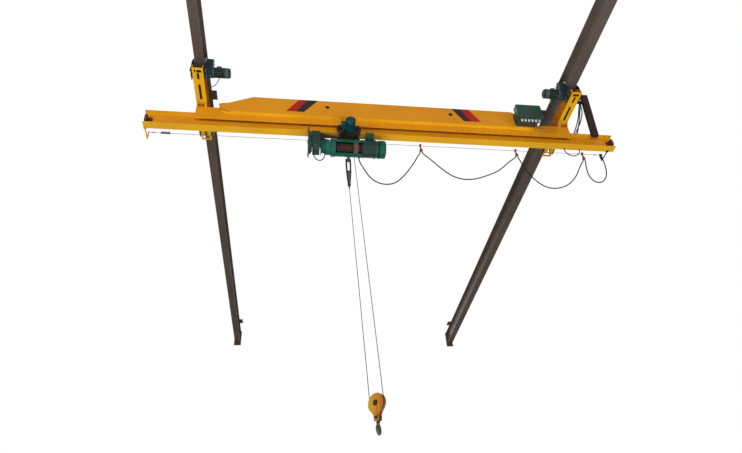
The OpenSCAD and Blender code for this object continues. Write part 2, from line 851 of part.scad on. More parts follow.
// Wedge in YZ that opens the shell's lower front quarter to the rope
module window_wedge() {
    far = 2 * shell_r;
    translate([y_b, z_drum])
        polygon([[0, 0], [-far * cos(window_top), -far * sin(window_top)], [-far, -far],
            [-far * cos(window_bottom), -far * sin(window_bottom)]]);
}

// Hoist shell with a window at its lower front and a slot below for the rope
module hoist_shell() {
    slot_w = 32;
    lug_y = y_b + shell_r;
    color(teal)
        union() {
            difference() {
                rod_x(shell_x0, shell_x1, y_b, z_drum, shell_r);
                rod_x(shell_x0 - over, shell_x1 - 10, y_b, z_drum, shell_in);
                rod_x(shell_x0 - over, shell_x1 + over, y_b, z_drum, journal_r + skin);
                along_x(window_x0, window_x1) window_wedge();
                block([fall_x - 20, y_fall - slot_w / 2, z_drum - shell_r - over],
                    [shell_x1 - 60, y_fall + slot_w / 2, z_drum]);
            }
            for (x = [shell_x0, window_x1 + 6])
                drum_ring(x, x + ring_h, shell_r + ring_h, shell_in);
            drum_ring(shell_x1 - 20, shell_x1, shell_r + ring_h, shell_r - over);
            block([cord_lug_x - 20, lug_y - 4, z_drum - 4], [cord_lug_x + 20, lug_y + 54, z_drum + 4]);
            for (x = [-hang_x, hang_x])
                difference() {
                    block([trolley_x + x - 30, y_b - 40, z_drum + shell_r - 12],
                        [trolley_x + x + 30, y_b + 40, z_girder - 30]);
                    rod_x(trolley_x + x - 31, trolley_x + x + 31, y_b, z_drum, shell_r - over);
                    rod_y(y_b - 41, y_b + 41, trolley_x + x, z_girder - hang_drop, hang_r + skin);
                }
        }
}

// Grooves as half circles in the drum's outline, one every rope pitch
function groove_points(n) = [for (k = [0:n - 1], a = [0:30:180])
    [drum_r - (rope_d / 2 + 0.4) * sin(a), (k + 0.5) * rope_pitch - (rope_d / 2 + 0.4) * cos(a)]];

// Drum with round rope grooves and the turns of rope that stay on it
module drum() {
    l = drum_x1 - drum_x0;
    rim = drum_r + drum_rim;
    journal_l = shell_x1 - drum_x1 - 1;
    journal_in = drum_x0 - shell_x0 + journal_depth - 2;
    grooves = rope_turns + lift_turns + 1;
    color(steel_grey)
        translate([drum_x0, y_b, z_drum])
            rotate([0, 90, 0]) {
                rotate_extrude()
                    polygon(concat([[0, -journal_in], [journal_r, -journal_in], [journal_r, 0], [rim, 0],
                        [rim, 8], [drum_r, 10]],
                        [for (p = groove_points(grooves)) [p[0], p[1] + groove_lead]],
                        [[drum_r, l - 10], [rim, l - 8], [rim, l], [journal_r, l],
                        [journal_r, l + journal_l], [0, l + journal_l]]));
                for (k = [0:rope_turns - 1])
                    translate([0, 0, groove_lead + (k + 0.5) * rope_pitch])
                        rotate_extrude() translate([drum_r, 0]) circle(r = rope_d / 2, $fn = 16);
            }
}

// Ring around the drum that keeps the rope in its groove
module rope_guide() {
    color(rail_yellow)
        difference() {
            drum_ring(guide_x0, guide_x1, shell_in - skin, drum_r + drum_rim + 1);
            block([fall_x - 9, y_fall - 9, z_drum - shell_r], [fall_x + 9, y_fall + 9, z_drum]);
        }
}

// Lug on the shell, two straps and the wedge socket that holds the rope's end
module rope_anchor() {
    pin = 12;
    strap_t = 14;
    strap_w = 26;
    body = strap_x - strap_t / 2 - skin;
    color(steel_grey)
        translate([anchor_x, anchor_y, 0]) {
            difference() {
                block([-body, -60, z_lug - 20], [body, 22, z_lug + 20]);
                rod_x(-body - over, body + over, y_b - anchor_y, z_drum, shell_r);
                rod_x(-body - over, body + over, 0, z_lug, pin + skin);
            }
            for (z = [z_lug, z_strap])
                rod_x(-strap_x - strap_t, strap_x + strap_t, 0, z, pin);
            for (x = [-strap_x, strap_x])
                difference() {
                    block([x - strap_t / 2, -strap_w / 2, z_strap - 20],
                        [x + strap_t / 2, strap_w / 2, z_lug + 20]);
                    for (z = [z_lug, z_strap])
                        rod_x(x - strap_t, x + strap_t, 0, z, pin + skin);
                }
            difference() {
                along_y(-9, 9)
                    polygon([[-body, z_strap + 20], [body, z_strap + 20], [body, z_strap - 26],
                        [body + 10, z_strap - 60], [8, z_socket], [-8, z_socket], [-body - 10, z_strap - 60],
                        [-body, z_strap - 26]]);
                rod_x(-body - over, body + over, 0, z_strap, pin + skin);
            }
        }
}

module hoist_gearbox() {
    x1 = shell_x0 - gearbox_l;
    x2 = x1 - gearbox_step;
    x3 = x2 - gearbox_cap;
    plate_x = trolley_x - 408;
    color(teal)
        difference() {
            union() {
                rod_x(x1, shell_x0, y_b, z_drum, shell_r + ring_h);
                rod_x(x2, x1, y_b, z_drum, shell_r - 14);
                rod_x(x3, x2, y_b, z_drum, 60);
                rod_x(plate_x, x3, y_b, z_drum, 34);
                block([plate_x, y_b - 90, z_drum - 80], [plate_x + 8, y_b + 90, z_drum + 80]);
            }
            rod_x(shell_x0 - journal_depth, shell_x0 + over, y_b, z_drum, journal_r + skin);
        }
}

module hoist_motor() {
    flange_l = 30;
    fin_l = 30;
    fins = 24;
    body_r = 104;
    cap_r = shell_r + 4;
    cap_l = 86;
    color(green)
        union() {
            rod_x(shell_x1, shell_x1 + flange_l, y_b, z_drum, shell_r - 4);
            rod_x(shell_x1 + flange_l, shell_x1 + flange_l + fin_l, y_b, z_drum, body_r);
            for (k = [0:fins - 1])
                translate([shell_x1 + flange_l, y_b, z_drum])
                    rotate([k * 360 / fins, 0, 0])
                        translate([0, -2.5, body_r - 4]) cube([fin_l, 5, cap_r - body_r]);
            translate([shell_x1 + flange_l + fin_l, y_b, z_drum])
                rotate([0, 90, 0])
                    rotate_extrude()
                        polygon([[0, 0], [cap_r, 0], [cap_r, cap_l - 18], [cap_r - 14, cap_l], [0, cap_l]]);
        }
}

module hoist_terminal_box() {
    x0 = trolley_x + 234;
    x1 = shell_x1 - 21;
    color(green)
        difference() {
            block([x0, y_b - 120, z_drum + shell_r - 30], [x1, y_b + 45, z_girder - 52]);
            rod_x(x0 - over, x1 + over, y_b, z_drum, shell_r + skin);
        }
}

// Hoist control box, and the plate at its left on three spacers
module hoist_control_box() {
    spacer_r = 14;
    z_top = z_girder - 20;
    z_low = z_drum - 104;
    color(teal) {
        block([hbox_x0, y_b - 130, hbox_bottom], [hbox_x1, y_b + 100, hbox_top]);
        block([hplate_x, y_b - 160, z_low], [hplate_x + hplate_t, y_b + 120, z_top]);
        for (p = [[-90, -150], [60, -150], [-20, -280]])
            rod_x(hplate_x + hplate_t, hbox_x0, y_b + p[0], z_girder + p[1], spacer_r);
    }
}

// Tapered bars that carry the control box from the trolley
module hoist_tie_bars() {
    z_high = z_girder - hang_drop - hang_r - 6;
    z_low = z_high - 26;
    x_start = hplate_x + hplate_t + skin;
    x_end = trolley_x + 125;
    bar_t = 10;
    color(dark)
        for (y = [y_b - 40 - bar_t, y_b + 40])
            along_y(y, y + bar_t)
                polygon([[x_start, hbox_top], [hbox_x1 + skin, hbox_top], [hbox_x1 + skin, z_low - 14],
                    [trolley_x - 250, z_low], [x_end, z_low], [x_end, z_high], [trolley_x - 150, z_high],
                    [hbox_x1, hbox_top + 62], [x_start, hbox_top + 46]]);
}

// One straight fall of rope from a point down to the sheave's side
module rope_fall(from, side) {
    reach = side * sheave_r;
    to = [block_x + reach * cos(block_turn), block_y - reach * sin(block_turn), z_sheave + skin];
    d = from - to;
    translate(to)
        rotate([0, acos(d[2] / norm(d)), atan2(d[1], d[0])])
            cylinder(h = norm(d), r = rope_d / 2, $fn = 16);
}

module rope_falls() {
    groove_play = 1;
    color(dark) {
        rope_fall([anchor_x, anchor_y, z_socket - skin], -1);
        rope_fall([fall_x, y_fall + groove_play, z_drum], 1);
    }
}

// Hook block

module block_cheeks() {
    neck = 34;
    color(rail_yellow)
        at_block(-block_turn)
            for (y = [-cheek_y - cheek_t, cheek_y])
                along_y(y, y + cheek_t)
                    difference() {
                        union() {
                            circle(r = cheek_r);
                            polygon([[-cheek_r * 0.86, -cheek_r * 0.5], [cheek_r * 0.86, -cheek_r * 0.5],
                                [neck + 6, -122], [neck, -194], [-neck, -194], [-neck - 6, -122]]);
                        }
                        circle(r = pin_r + skin);
                        translate([0, z_cross]) circle(r = cross_r + skin);
                    }
}

module block_crosshead() {
    y_out = cheek_y + cheek_t;
    cross_w = 30;
    cross_h = 19;
    color(dark)
        at_block(-block_turn)
            union() {
                rod_y(-y_out - 14, y_out + 14, 0, 0, pin_r);
                for (y = [-y_out - 8, y_out])
                    rod_y(y, y + 8, 0, 0, 30);
                difference() {
                    union() {
                        block([-cross_w, -cheek_y, z_cross - cross_h],
                            [cross_w, cheek_y, z_cross + cross_h]);
                        rod_y(-y_out - 8, y_out + 8, 0, z_cross, cross_r);
                    }
                    translate([0, 0, z_cross - 30]) cylinder(h = 60, r = 12 + skin);
                }
            }
}

module sheave() {
    bore = pin_r + skin;
    hub = 32;
    web = 5;
    color(steel_grey)
        at_block(-block_turn)
            rotate([90, 0, 0])
                rotate_extrude()
                    polygon([[bore, -cheek_y + 1], [hub, -cheek_y + 1], [hub, -web], [sheave_r - 16, -web],
                        [sheave_r - 11, -sheave_t / 2], [sheave_r + 6, -sheave_t / 2], [sheave_r - 2, -6],
                        [sheave_r - rope_d / 2 - 1, 0], [sheave_r - 2, 6], [sheave_r + 6, sheave_t / 2],
                        [sheave_r - 11, sheave_t / 2], [sheave_r - 16, web], [hub, web],
                        [hub, cheek_y - 1], [bore, cheek_y - 1]]);
}

// Half turn of rope under the sheave
module rope_bight() {
    color(dark)
        at_block(-block_turn)
            rotate([90, 0, 0])
                rotate([0, 0, 180])
                    rotate_extrude(angle = 180) translate([sheave_r, 0]) circle(r = rope_d / 2, $fn = 16);
}

// Centre of the hook's bar at an angle round its bowl
function bowl(a) = [cos(a) * (hook_r + hook_bar / 2), sin(a) * (hook_r + hook_bar / 2)];

module hook() {
    shank_r = 12;
    steps = 12;
    step_a = 24;
    color(dark)
        at_block(hook_turn - block_turn)
            union() {
                translate([0, 0, z_cross - 40]) cylinder(h = 62, r = shank_r);
                translate([0, 0, z_cross - 78]) cylinder(h = 78 - 19 - skin, r = 15);
                translate([0, 0, z_cross + 19 + skin]) cylinder(h = 20, r = 17.5);
                for (i = [0:steps - 1]) {
                    a = 90 - i * step_a;
                    r1 = hook_bar / 2 * (1 - abs(i - 6) * 0.03);
                    r2 = hook_bar / 2 * (1 - abs(i - 5) * 0.03);
                    hull() {
                        translate([bowl(a)[0], 0, bowl(a)[1] - hook_drop_bowl]) sphere(r = r1, $fn = 20);
                        translate([bowl(a - step_a)[0], 0, bowl(a - step_a)[1] - hook_drop_bowl])
                            sphere(r = r2, $fn = 20);
                    }
                }
            }
}

// Festoon

module cable_carrier(x) {
    body_z = -carrier_h + carrier_body;
    color(carrier_red)
        translate([x, wire_y, wire_z])
            union() {
                difference() {
                    along_y(-8, 8)
                        polygon([[-12, 14], [12, 14], [12, -14], [9, -30], [9, body_z], [-9, body_z],
                            [-9, -30], [-12, -14]]);
                    rod_x(-15, 15, 0, 0, wire_d / 2 + skin);
                }
                along_y(-14, 14)
                    polygon([[-10, body_z + 10], [10, body_z + 10], [hang_dx + 12, -carrier_h],
                        [-hang_dx - 12, -carrier_h]]);
            }
}

function unit(v) = v / norm(v);

// Direction of a route at one of its points: up or down at its two ends
function route_dir(points, i) =
    let (n = len(points), d = points[min(i + 1, n - 1)] - points[max(i - 1, 0)])
    i == 0 || i == n - 1 ? [0, 0, sign(d[2])] : unit(d);

// A tube swept along points: each ring stands across the path there
module sweep_tube(points, r, sides) {
    n = len(points);
    dirs = [for (i = [0:n - 1]) route_dir(points, i)];
    rings = [for (i = [0:n - 1])
        let (u = unit(cross(dirs[i], [0.02, 1, 0])), v = cross(dirs[i], u))
        [for (k = [0:sides - 1]) points[i] + r * (u * cos(k * 360 / sides) + v * sin(k * 360 / sides))]];
    verts = [for (ring = rings, p = ring) p];
    walls = [for (i = [0:n - 2], k = [0:sides - 1])
        let (a = i * sides, b = (i + 1) * sides, k2 = (k + 1) % sides)
        [a + k, a + k2, b + k2, b + k]];
    polyhedron(points = verts, faces = concat([[for (k = [sides - 1:-1:0]) k]], walls,
        [[for (k = [0:sides - 1]) (n - 1) * sides + k]]));
}

module cable(route, d) {
    color(dark) sweep_tube(route, d / 2, 8);
}

runway(0);  // runway_left
runway(span);  // runway_right
hanger_plates();
runway_stops();
runway_buffers();
girder_beam();
girder_box();
girder_skirts();
saddle_left();
saddle_right();
end_carriage_left();
end_carriage_right();
wheel_brackets_left();
wheel_brackets_right();
bridge_wheels(axle_near);  // bridge_wheels_near
bridge_wheels(axle_far);  // bridge_wheels_far
drive_gearcase_left();
drive_gearcase_right();
drive_motor_left();
drive_motor_right();
girder_stops();
control_box();
cable_glands();
wire_brackets();
cable_wire();
cable_mast();
trolley_frame();
trolley_wheels(-1);  // trolley_wheels_left
trolley_wheels(1);  // trolley_wheels_right
trolley_motor();
hoist_shell();
hoist_gearbox();
hoist_motor();
hoist_terminal_box();
hoist_control_box();
hoist_tie_bars();
drum();
rope_guide();
rope_anchor();
rope_falls();
rope_bight();
block_cheeks();
block_crosshead();
sheave();
hook();
cable_carrier(carrier_xs[0]);  // cable_carrier_left
cable_carrier(carrier_xs[1]);  // cable_carrier_middle
cable_carrier(carrier_xs[2]);  // cable_carrier_right
cable(festoon_route_1, festoon_d);  // festoon_cable_1
cable(festoon_route_2, festoon_d);  // festoon_cable_2
cable(festoon_route_3, festoon_d);  // festoon_cable_3
cable(festoon_route_4, festoon_d);  // festoon_cable_4
cable(hoist_route, festoon_d - 3);  // hoist_cable
cable(girder_route, festoon_d - 3);  // girder_cable
cable(mast_route_1, festoon_d);  // mast_cable_1
cable(mast_route_2, festoon_d);  // mast_cable_2
cable(mast_route_3, festoon_d);  // mast_cable_3
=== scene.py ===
"""Under-slung single-girder overhead crane: materials, cables, ropes and small fittings on the frame."""
import bpy
import math
import numpy as np
from mathutils import Euler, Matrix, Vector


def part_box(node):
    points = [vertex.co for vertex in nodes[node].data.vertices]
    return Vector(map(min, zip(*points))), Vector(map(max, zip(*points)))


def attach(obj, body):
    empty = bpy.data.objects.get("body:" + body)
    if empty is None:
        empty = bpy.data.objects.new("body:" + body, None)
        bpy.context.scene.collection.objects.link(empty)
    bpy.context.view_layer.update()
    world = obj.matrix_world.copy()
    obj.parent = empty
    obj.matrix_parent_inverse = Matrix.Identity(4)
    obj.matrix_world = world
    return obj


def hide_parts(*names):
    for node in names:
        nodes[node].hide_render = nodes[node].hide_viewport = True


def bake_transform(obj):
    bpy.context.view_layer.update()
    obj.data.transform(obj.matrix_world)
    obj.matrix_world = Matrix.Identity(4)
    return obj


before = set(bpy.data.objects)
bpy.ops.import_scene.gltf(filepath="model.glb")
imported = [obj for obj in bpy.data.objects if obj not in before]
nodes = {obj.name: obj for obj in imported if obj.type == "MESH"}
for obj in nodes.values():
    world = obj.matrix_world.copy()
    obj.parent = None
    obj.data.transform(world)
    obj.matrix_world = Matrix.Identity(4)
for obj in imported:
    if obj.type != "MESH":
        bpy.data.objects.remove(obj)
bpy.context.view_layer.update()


def middle_of(node, axis):
    """Middle of a node's box along one axis: 0 for X, 1 for Y or 2 for Z."""
    low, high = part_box(node)
    return (low[axis] + high[axis]) / 2


# Places worked out from the frame, in metres
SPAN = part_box("runway_right")[0][0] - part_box("runway_left")[0][0]
GIRDER_LOW, GIRDER_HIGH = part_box("girder_beam")
BOX_LOW, BOX_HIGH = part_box("girder_box")
SHELL_LOW, SHELL_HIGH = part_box("hoist_shell")
Y_GIRDER = middle_of("girder_beam", 1)
Z_GIRDER = GIRDER_LOW[2]
Z_BEAM = GIRDER_HIGH[2]
Y_FLANGE = GIRDER_LOW[1]
Z_DRUM = middle_of("drum", 2)
Y_AXLE_NEAR = middle_of("bridge_wheels_near", 1)
Y_AXLE_FAR = middle_of("bridge_wheels_far", 1)
Z_AXLE = middle_of("bridge_wheels_near", 2)
X_TROLLEY = middle_of("trolley_frame", 0)
Z_TROLLEY_AXLE = middle_of("trolley_wheels_left", 2)
X_TROLLEY_AXLES = [middle_of("trolley_wheels_" + side, 0) for side in ("left", "right")]
SHEAVE = [middle_of("sheave", k) for k in range(3)]
Y_WIRE = middle_of("cable_wire", 1)
Z_WIRE = middle_of("cable_wire", 2)
Y_SADDLE = Y_FLANGE - 0.008
DRIVE_LOW, DRIVE_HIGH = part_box("drive_motor_left")
DRIVE_RADIUS = (DRIVE_HIGH[1] - DRIVE_LOW[1]) / 2
Y_DRIVE, Z_DRIVE = middle_of("drive_motor_left", 1), DRIVE_LOW[2] + DRIVE_RADIUS
X_SOCKET, Y_SOCKET, Z_SOCKET = X_TROLLEY - 0.004, Y_GIRDER + 0.150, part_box("rope_anchor")[0][2]

# (x, z) of the lower left and upper right corners of the hoist's electrical case
CASE_LOW, CASE_HIGH = (X_TROLLEY - 0.524, Z_DRUM - 0.064), (X_TROLLEY - 0.422, Z_GIRDER - 0.089)

# Directions, and the ends of the bridge: 1 at the left runway and -1 at the right one
LEFT, RIGHT, NEAR, FAR, DOWN, UP = (-1, 0, 0), (1, 0, 0), (0, -1, 0), (0, 1, 0), (0, 0, -1), (0, 0, 1)
ALONG_X, ALONG_Y, ALONG_Z = 0, 1, 2
ENDS = (1, -1)

# Turns of the hook block and its hook, the rope's size, and its valleys' depth as a share of its radius
BLOCK_TURN = math.radians(-50)
HOOK_TURN = math.radians(65)
ROPE_RADIUS = 0.0045
SHEAVE_ROPE_RADIUS = 0.100
STRANDS, ROPE_PITCH = 6, 0.058
STRAND_VALLEY = 0.16
ROPE_STEP, ROPE_SIDES = 0.006, 18

# The camera: image width, focal length and shift in pixels, place in metres and turn in degrees
IMAGE_WIDTH = 742
SENSOR_WIDTH = 36
FOCAL_LENGTH = 584.3
CAMERA_SHIFT = (-2.0, 20.1)
CAMERA_PLACE = (1.425, -6.032, -7.432)
CAMERA_TURN = (126.8462, 3.1961, -6.8612)
VIEW_DEPTH = 300


def make_camera():
    """Camera below the crane's left part that looks up along the runways."""
    data = bpy.data.cameras.new("camera")
    data.sensor_width = SENSOR_WIDTH
    data.lens = FOCAL_LENGTH * SENSOR_WIDTH / IMAGE_WIDTH
    data.shift_x, data.shift_y = (shift / IMAGE_WIDTH for shift in CAMERA_SHIFT)
    data.clip_end = VIEW_DEPTH
    camera = bpy.data.objects.new("camera", data)
    camera.location = CAMERA_PLACE
    camera.rotation_euler = Euler([math.radians(a) for a in CAMERA_TURN])
    bpy.context.scene.collection.objects.link(camera)
    bpy.context.scene.camera = camera


make_camera()


# Meshes from arrays

def add_mesh(name, points, faces, smooth=True):
    """Object at the origin from an (n, 3) array of points and a list of faces."""
    mesh = bpy.data.meshes.new(name)
    mesh.from_pydata(np.asarray(points, float).reshape(-1, 3).tolist(), [], faces)
    mesh.polygons.foreach_set("use_smooth", np.full(len(mesh.polygons), smooth))
    mesh.validate()
    mesh.update()
    made = bpy.data.objects.new(name, mesh)
    bpy.context.scene.collection.objects.link(made)
    return made


def grid_faces(rows, columns):
    """Quads of a grid of rows x columns points whose last column meets the first."""
    row = np.arange(rows - 1)[:, None]
    column = np.arange(columns)[None, :]
    after = (column + 1) % columns
    corners = (row * columns + column, row * columns + after,
               (row + 1) * columns + after, (row + 1) * columns + column)
    return np.stack(np.broadcast_arrays(*corners), -1).reshape(-1, 4).tolist()


def capped_faces(rows, columns):
    """Faces of a tube of rings with a flat cap on both ends."""
    low = list(range(columns))[::-1]
    high = list(range((rows - 1) * columns, rows * columns))
    return grid_faces(rows, columns) + [low, high]


def outward(mesh_object):
    """Recalculates a closed mesh's normals so that they point outwards."""
    bpy.context.view_layer.objects.active = mesh_object
    mesh_object.select_set(True)
    bpy.ops.object.mode_set(mode="EDIT")
    bpy.ops.mesh.select_all(action="SELECT")
    bpy.ops.mesh.normals_make_consistent(inside=False)
    bpy.ops.object.mode_set(mode="OBJECT")
    mesh_object.select_set(False)
    return mesh_object


def many_shapes(name, shapes, smooth=True):
    """One mesh from several (points, faces) shapes, with each one's faces moved on past those before."""
    points, faces, first = [], [], 0
    for shape_points, shape_faces in shapes:
        points.append(np.asarray(shape_points, float).reshape(-1, 3))
        faces += [[k + first for k in face] for face in shape_faces]
        first += len(points[-1])
    return outward(add_mesh(name, np.concatenate(points), faces, smooth))


def frame_of(axis):
    """Three unit vectors, the last along axis and the others square to it."""
    w = np.asarray(axis, float) / np.linalg.norm(axis)
    helper = np.array([0.0, 0.0, 1.0]) if abs(w[2]) < 0.9 else np.array([1.0, 0.0, 0.0])
    u = np.cross(helper, w)
    u /= np.linalg.norm(u)
    return np.stack([u, np.cross(w, u), w])


def lathe(profile, start, axis, sides=32):
    """Points at start + r cos(a) u + r sin(a) v + h w for each (r, h) of a profile and each angle a."""
    r, h = np.asarray(profile, float).T
    a = np.arange(sides) * 2 * np.pi / sides
    u, v, w = frame_of(axis)
    ring = np.cos(a)[None, :, None] * u + np.sin(a)[None, :, None] * v
    points = np.asarray(start, float) + r[:, None, None] * ring + h[:, None, None] * w
    return points.reshape(-1, 3), capped_faces(len(r), sides)


def rounded_bar(low, high, edge):
    """Box with chamfered upright edges and bevelled rims between two corners: eight-sided rings along Z."""
    low, high = np.asarray(low, float), np.asarray(high, float)
    rings = []
    for inset in (edge, 0.0):
        x0, y0, x1, y1 = low[0] + inset, low[1] + inset, high[0] - inset, high[1] - inset
        rings.append([(x0 + edge, y0), (x1 - edge, y0), (x1, y0 + edge), (x1, y1 - edge),
                      (x1 - edge, y1), (x0 + edge, y1), (x0, y1 - edge), (x0, y0 + edge)])
    heights = [(0, low[2]), (1, low[2] + edge), (1, high[2] - edge), (0, high[2])]
    points = [[(x, y, z) for x, y in rings[k]] for k, z in heights]
    return np.array(points).reshape(-1, 3), capped_faces(4, 8)


def tube(path, radius, sides=12, twist=None):
    """Rings path + r(s, a)(cos(a) u + sin(a) v) across the path; twist=(lobes, pitch) gives laid strands."""
    path = np.asarray(path, float)
    step = np.gradient(path, axis=0)
    step[0], step[-1] = path[1] - path[0], path[-1] - path[-2]
    w = step / np.linalg.norm(step, axis=1)[:, None]
    helper = np.array([0.02, 1.0, 0.013]) if abs(w[:, 1]).max() < 0.97 else np.array([0.0, 0.0, 1.0])
    u = np.cross(w, helper)
    u /= np.linalg.norm(u, axis=1)[:, None]
    v = np.cross(w, u)
    s = np.concatenate([[0], np.cumsum(np.linalg.norm(np.diff(path, axis=0), axis=1))])
    a = np.arange(sides)[None, :] * 2 * np.pi / sides
    if twist:
        lobes, pitch = twist
        a = a + 2 * np.pi * s[:, None] / pitch
        r = radius * (1 - STRAND_VALLEY * np.abs(np.sin(lobes * (a - 2 * np.pi * s[:, None] / pitch) / 2)))
    else:
        a = np.broadcast_to(a, (len(path), sides))
        r = np.full(a.shape, radius)
    across = np.cos(a)[..., None] * u[:, None, :] + np.sin(a)[..., None] * v[:, None, :]
    points = path[:, None, :] + r[..., None] * across
    return points.reshape(-1, 3), capped_faces(len(path), sides)


def smooth_route(points, spacing):
    """Catmull-Rom curve through the points, then spaced evenly along its length."""
    p = np.asarray(points, float)
    p = np.vstack([2 * p[0] - p[1], p, 2 * p[-1] - p[-2]])
    t = np.linspace(0, 1, 12, endpoint=False)[:, None]
    parts = [0.5 * ((2 * b) + (c - a) * t + (2 * a - 5 * b + 4 * c - d) * t**2 + (3 * b - a - 3 * c + d) * t**3)
             for a, b, c, d in zip(p[:-3], p[1:-2], p[2:-1], p[3:])]
    curve = np.vstack(parts + [p[-2:-1]])
    s = np.concatenate([[0], np.cumsum(np.linalg.norm(np.diff(curve, axis=0), axis=1))])
    even = np.linspace(0, s[-1], max(int(s[-1] / spacing), 8))
    return np.stack([np.interp(even, s, curve[:, k]) for k in range(3)], 1)


# Shader helpers

def add_node(tree, kind, **settings):
    """New shader node with its settings."""
    made = tree.nodes.new(kind)
    for key, value in settings.items():
        setattr(made, key, value)
    return made


def join(tree, source, target):
    """Links an output socket to an input socket."""
    tree.links.new(source, target)


def new_group(name, inputs, outputs):
    """Empty shader node group with named sockets: (name, kind, default) in and (name, kind) out."""
    group = bpy.data.node_groups.new(name, "ShaderNodeTree")
    for label, kind, value in inputs:
        socket = group.interface.new_socket(name=label, in_out="INPUT", socket_type="NodeSocket" + kind)
        if value is not None:
            socket.default_value = value
    for label, kind in outputs:
        group.interface.new_socket(name=label, in_out="OUTPUT", socket_type="NodeSocket" + kind)
    return group, group.nodes.new("NodeGroupInput"), group.nodes.new("NodeGroupOutput")


def place_noise(tree, scale, stretch=(1, 1, 1), detail=4.0, rough=0.55):
    """Noise on the piece's own coordinates, stretched by a factor along each axis."""
    coordinate = add_node(tree, "ShaderNodeTexCoord")
    mapping = add_node(tree, "ShaderNodeMapping")
    mapping.inputs["Scale"].default_value = stretch
    noise = add_node(tree, "ShaderNodeTexNoise")
    noise.inputs["Scale"].default_value = scale
    noise.inputs["Detail"].default_value = detail
    noise.inputs["Roughness"].default_value = rough
    join(tree, coordinate.outputs["Object"], mapping.inputs["Vector"])
    join(tree, mapping.outputs["Vector"], noise.inputs["Vector"])
    return noise.outputs["Fac"]


def ramp(tree, source, low, high):
    """Value that goes from 0 at low to 1 at high."""
    node = add_node(tree, "ShaderNodeMapRange", clamp=True)
    node.inputs["From Min"].default_value = low
    node.inputs["From Max"].default_value = high
    join(tree, source, node.inputs["Value"])
    return node.outputs["Result"]


def math_node(tree, operation, *values):
    """Math node on one or two sockets or numbers."""
    node = add_node(tree, "ShaderNodeMath", operation=operation)
    for socket, value in zip(node.inputs, values):
        if isinstance(value, (int, float)):
            socket.default_value = value
        else:
            join(tree, value, socket)
    return node.outputs["Value"]


def multiply(tree, first, *others):
    """Product of sockets or numbers."""
    for other in others:
        first = math_node(tree, "MULTIPLY", first, other)
    return first


def add(tree, first, second):
    """Sum of two sockets or numbers."""
    return math_node(tree, "ADD", first, second)


def subtract(tree, first, second):
    """Difference of two sockets or numbers."""
    return math_node(tree, "SUBTRACT", first, second)


def mix_colour(tree, factor, first, second, blend="MIX"):
    """Colour that goes from first to second with a factor; each may be a socket or a value."""
    node = add_node(tree, "ShaderNodeMix", data_type="RGBA", blend_type=blend)
    if isinstance(factor, (int, float)):
        node.inputs["Factor"].default_value = factor
    else:
        join(tree, factor, node.inputs["Factor"])
    for socket, value in ((node.inputs[6], first), (node.inputs[7], second)):
        if isinstance(value, (tuple, list)):
            socket.default_value = tuple(value) + (1.0,) * (4 - len(value))
        else:
            join(tree, value, socket)
    return node.outputs[2]


def split(tree, vector):
    """X, Y and Z of a vector socket."""
    parts = add_node(tree, "ShaderNodeSeparateXYZ")
    join(tree, vector, parts.inputs["Vector"])
    return parts.outputs["X"], parts.outputs["Y"], parts.outputs["Z"]


def place_parts(tree):
    """X, Y and Z of the place on the piece."""
    return split(tree, add_node(tree, "ShaderNodeTexCoord").outputs["Object"])


def normal_parts(tree):
    """X, Y and Z of the direction that the surface faces."""
    return split(tree, add_node(tree, "ShaderNodeNewGeometry").outputs["Normal"])


def build_weathering():
    """Group that fades a paint in broad patches, runs dirt down it and lays dust on what faces up."""
    colours = [("Paint", (0.5, 0.5, 0.5, 1)), ("Faded", (0.5, 0.5, 0.5, 1)),
               ("Dirt", (0.05, 0.04, 0.03, 1)), ("Dust", (0.42, 0.38, 0.32, 1))]
    amounts = [("Fading", 0.5), ("Grime", 0.3), ("Gloss", 0.35)]
    group, inside, outside = new_group(
        "weathering",
        [(label, "Color", value) for label, value in colours] + [(label, "Float", value) for label, value in amounts],
        [("Color", "Color"), ("Roughness", "Float"), ("Height", "Float")])
    given = inside.outputs
    patches = ramp(group, place_noise(group, 1.7, detail=5), 0.38, 0.66)
    faded = mix_colour(group, multiply(group, patches, given["Fading"]), given["Paint"], given["Faded"])
    mottle = ramp(group, place_noise(group, 22, detail=6, rough=0.7), 0.42, 0.62)
    speckle = multiply(group, mottle, multiply(group, given["Fading"], 0.35))
    faded = mix_colour(group, speckle, faded, given["Faded"])
    runs = ramp(group, place_noise(group, 9, (6, 6, 0.35), detail=5), 0.55, 0.78)
    spots = ramp(group, place_noise(group, 55, detail=8, rough=0.75), 0.56, 0.70)
    dirt = multiply(group, math_node(group, "MAXIMUM", runs, spots), given["Grime"])
    coloured = mix_colour(group, dirt, faded, given["Dirt"])
    up = ramp(group, normal_parts(group)[2], 0.55, 0.98)
    settled = multiply(group, up, ramp(group, place_noise(group, 14, detail=7, rough=0.65), 0.3, 0.62))
    dusty = mix_colour(group, multiply(group, settled, 0.75), coloured, given["Dust"])
    join(group, dusty, outside.inputs["Color"])
    matt = add(group, given["Gloss"], multiply(group, math_node(group, "MAXIMUM", dirt, settled), 0.4))
    join(group, add(group, matt, multiply(group, mottle, 0.06)), outside.inputs["Roughness"])
    peel = place_noise(group, 320, detail=2)
    join(group, add(group, peel, multiply(group, spots, 0.5)), outside.inputs["Height"])
    return group


def build_chips():
    """Group that gives a mask of small chips and scratches, from two sharp noises multiplied."""
    group, inside, outside = new_group("chips", [("Amount", "Float", 0.5)], [("Mask", "Float")])
    coarse = ramp(group, place_noise(group, 26, detail=6, rough=0.8), 0.60, 0.66)
    fine = ramp(group, place_noise(group, 160, (1, 1, 2.5), detail=4, rough=0.7), 0.5, 0.6)
    both = math_node(group, "MULTIPLY", coarse, fine)
    join(group, math_node(group, "MULTIPLY", both, inside.outputs["Amount"]), outside.inputs["Mask"])
    return group


weathering = build_weathering()
chips = build_chips()
looks = {}


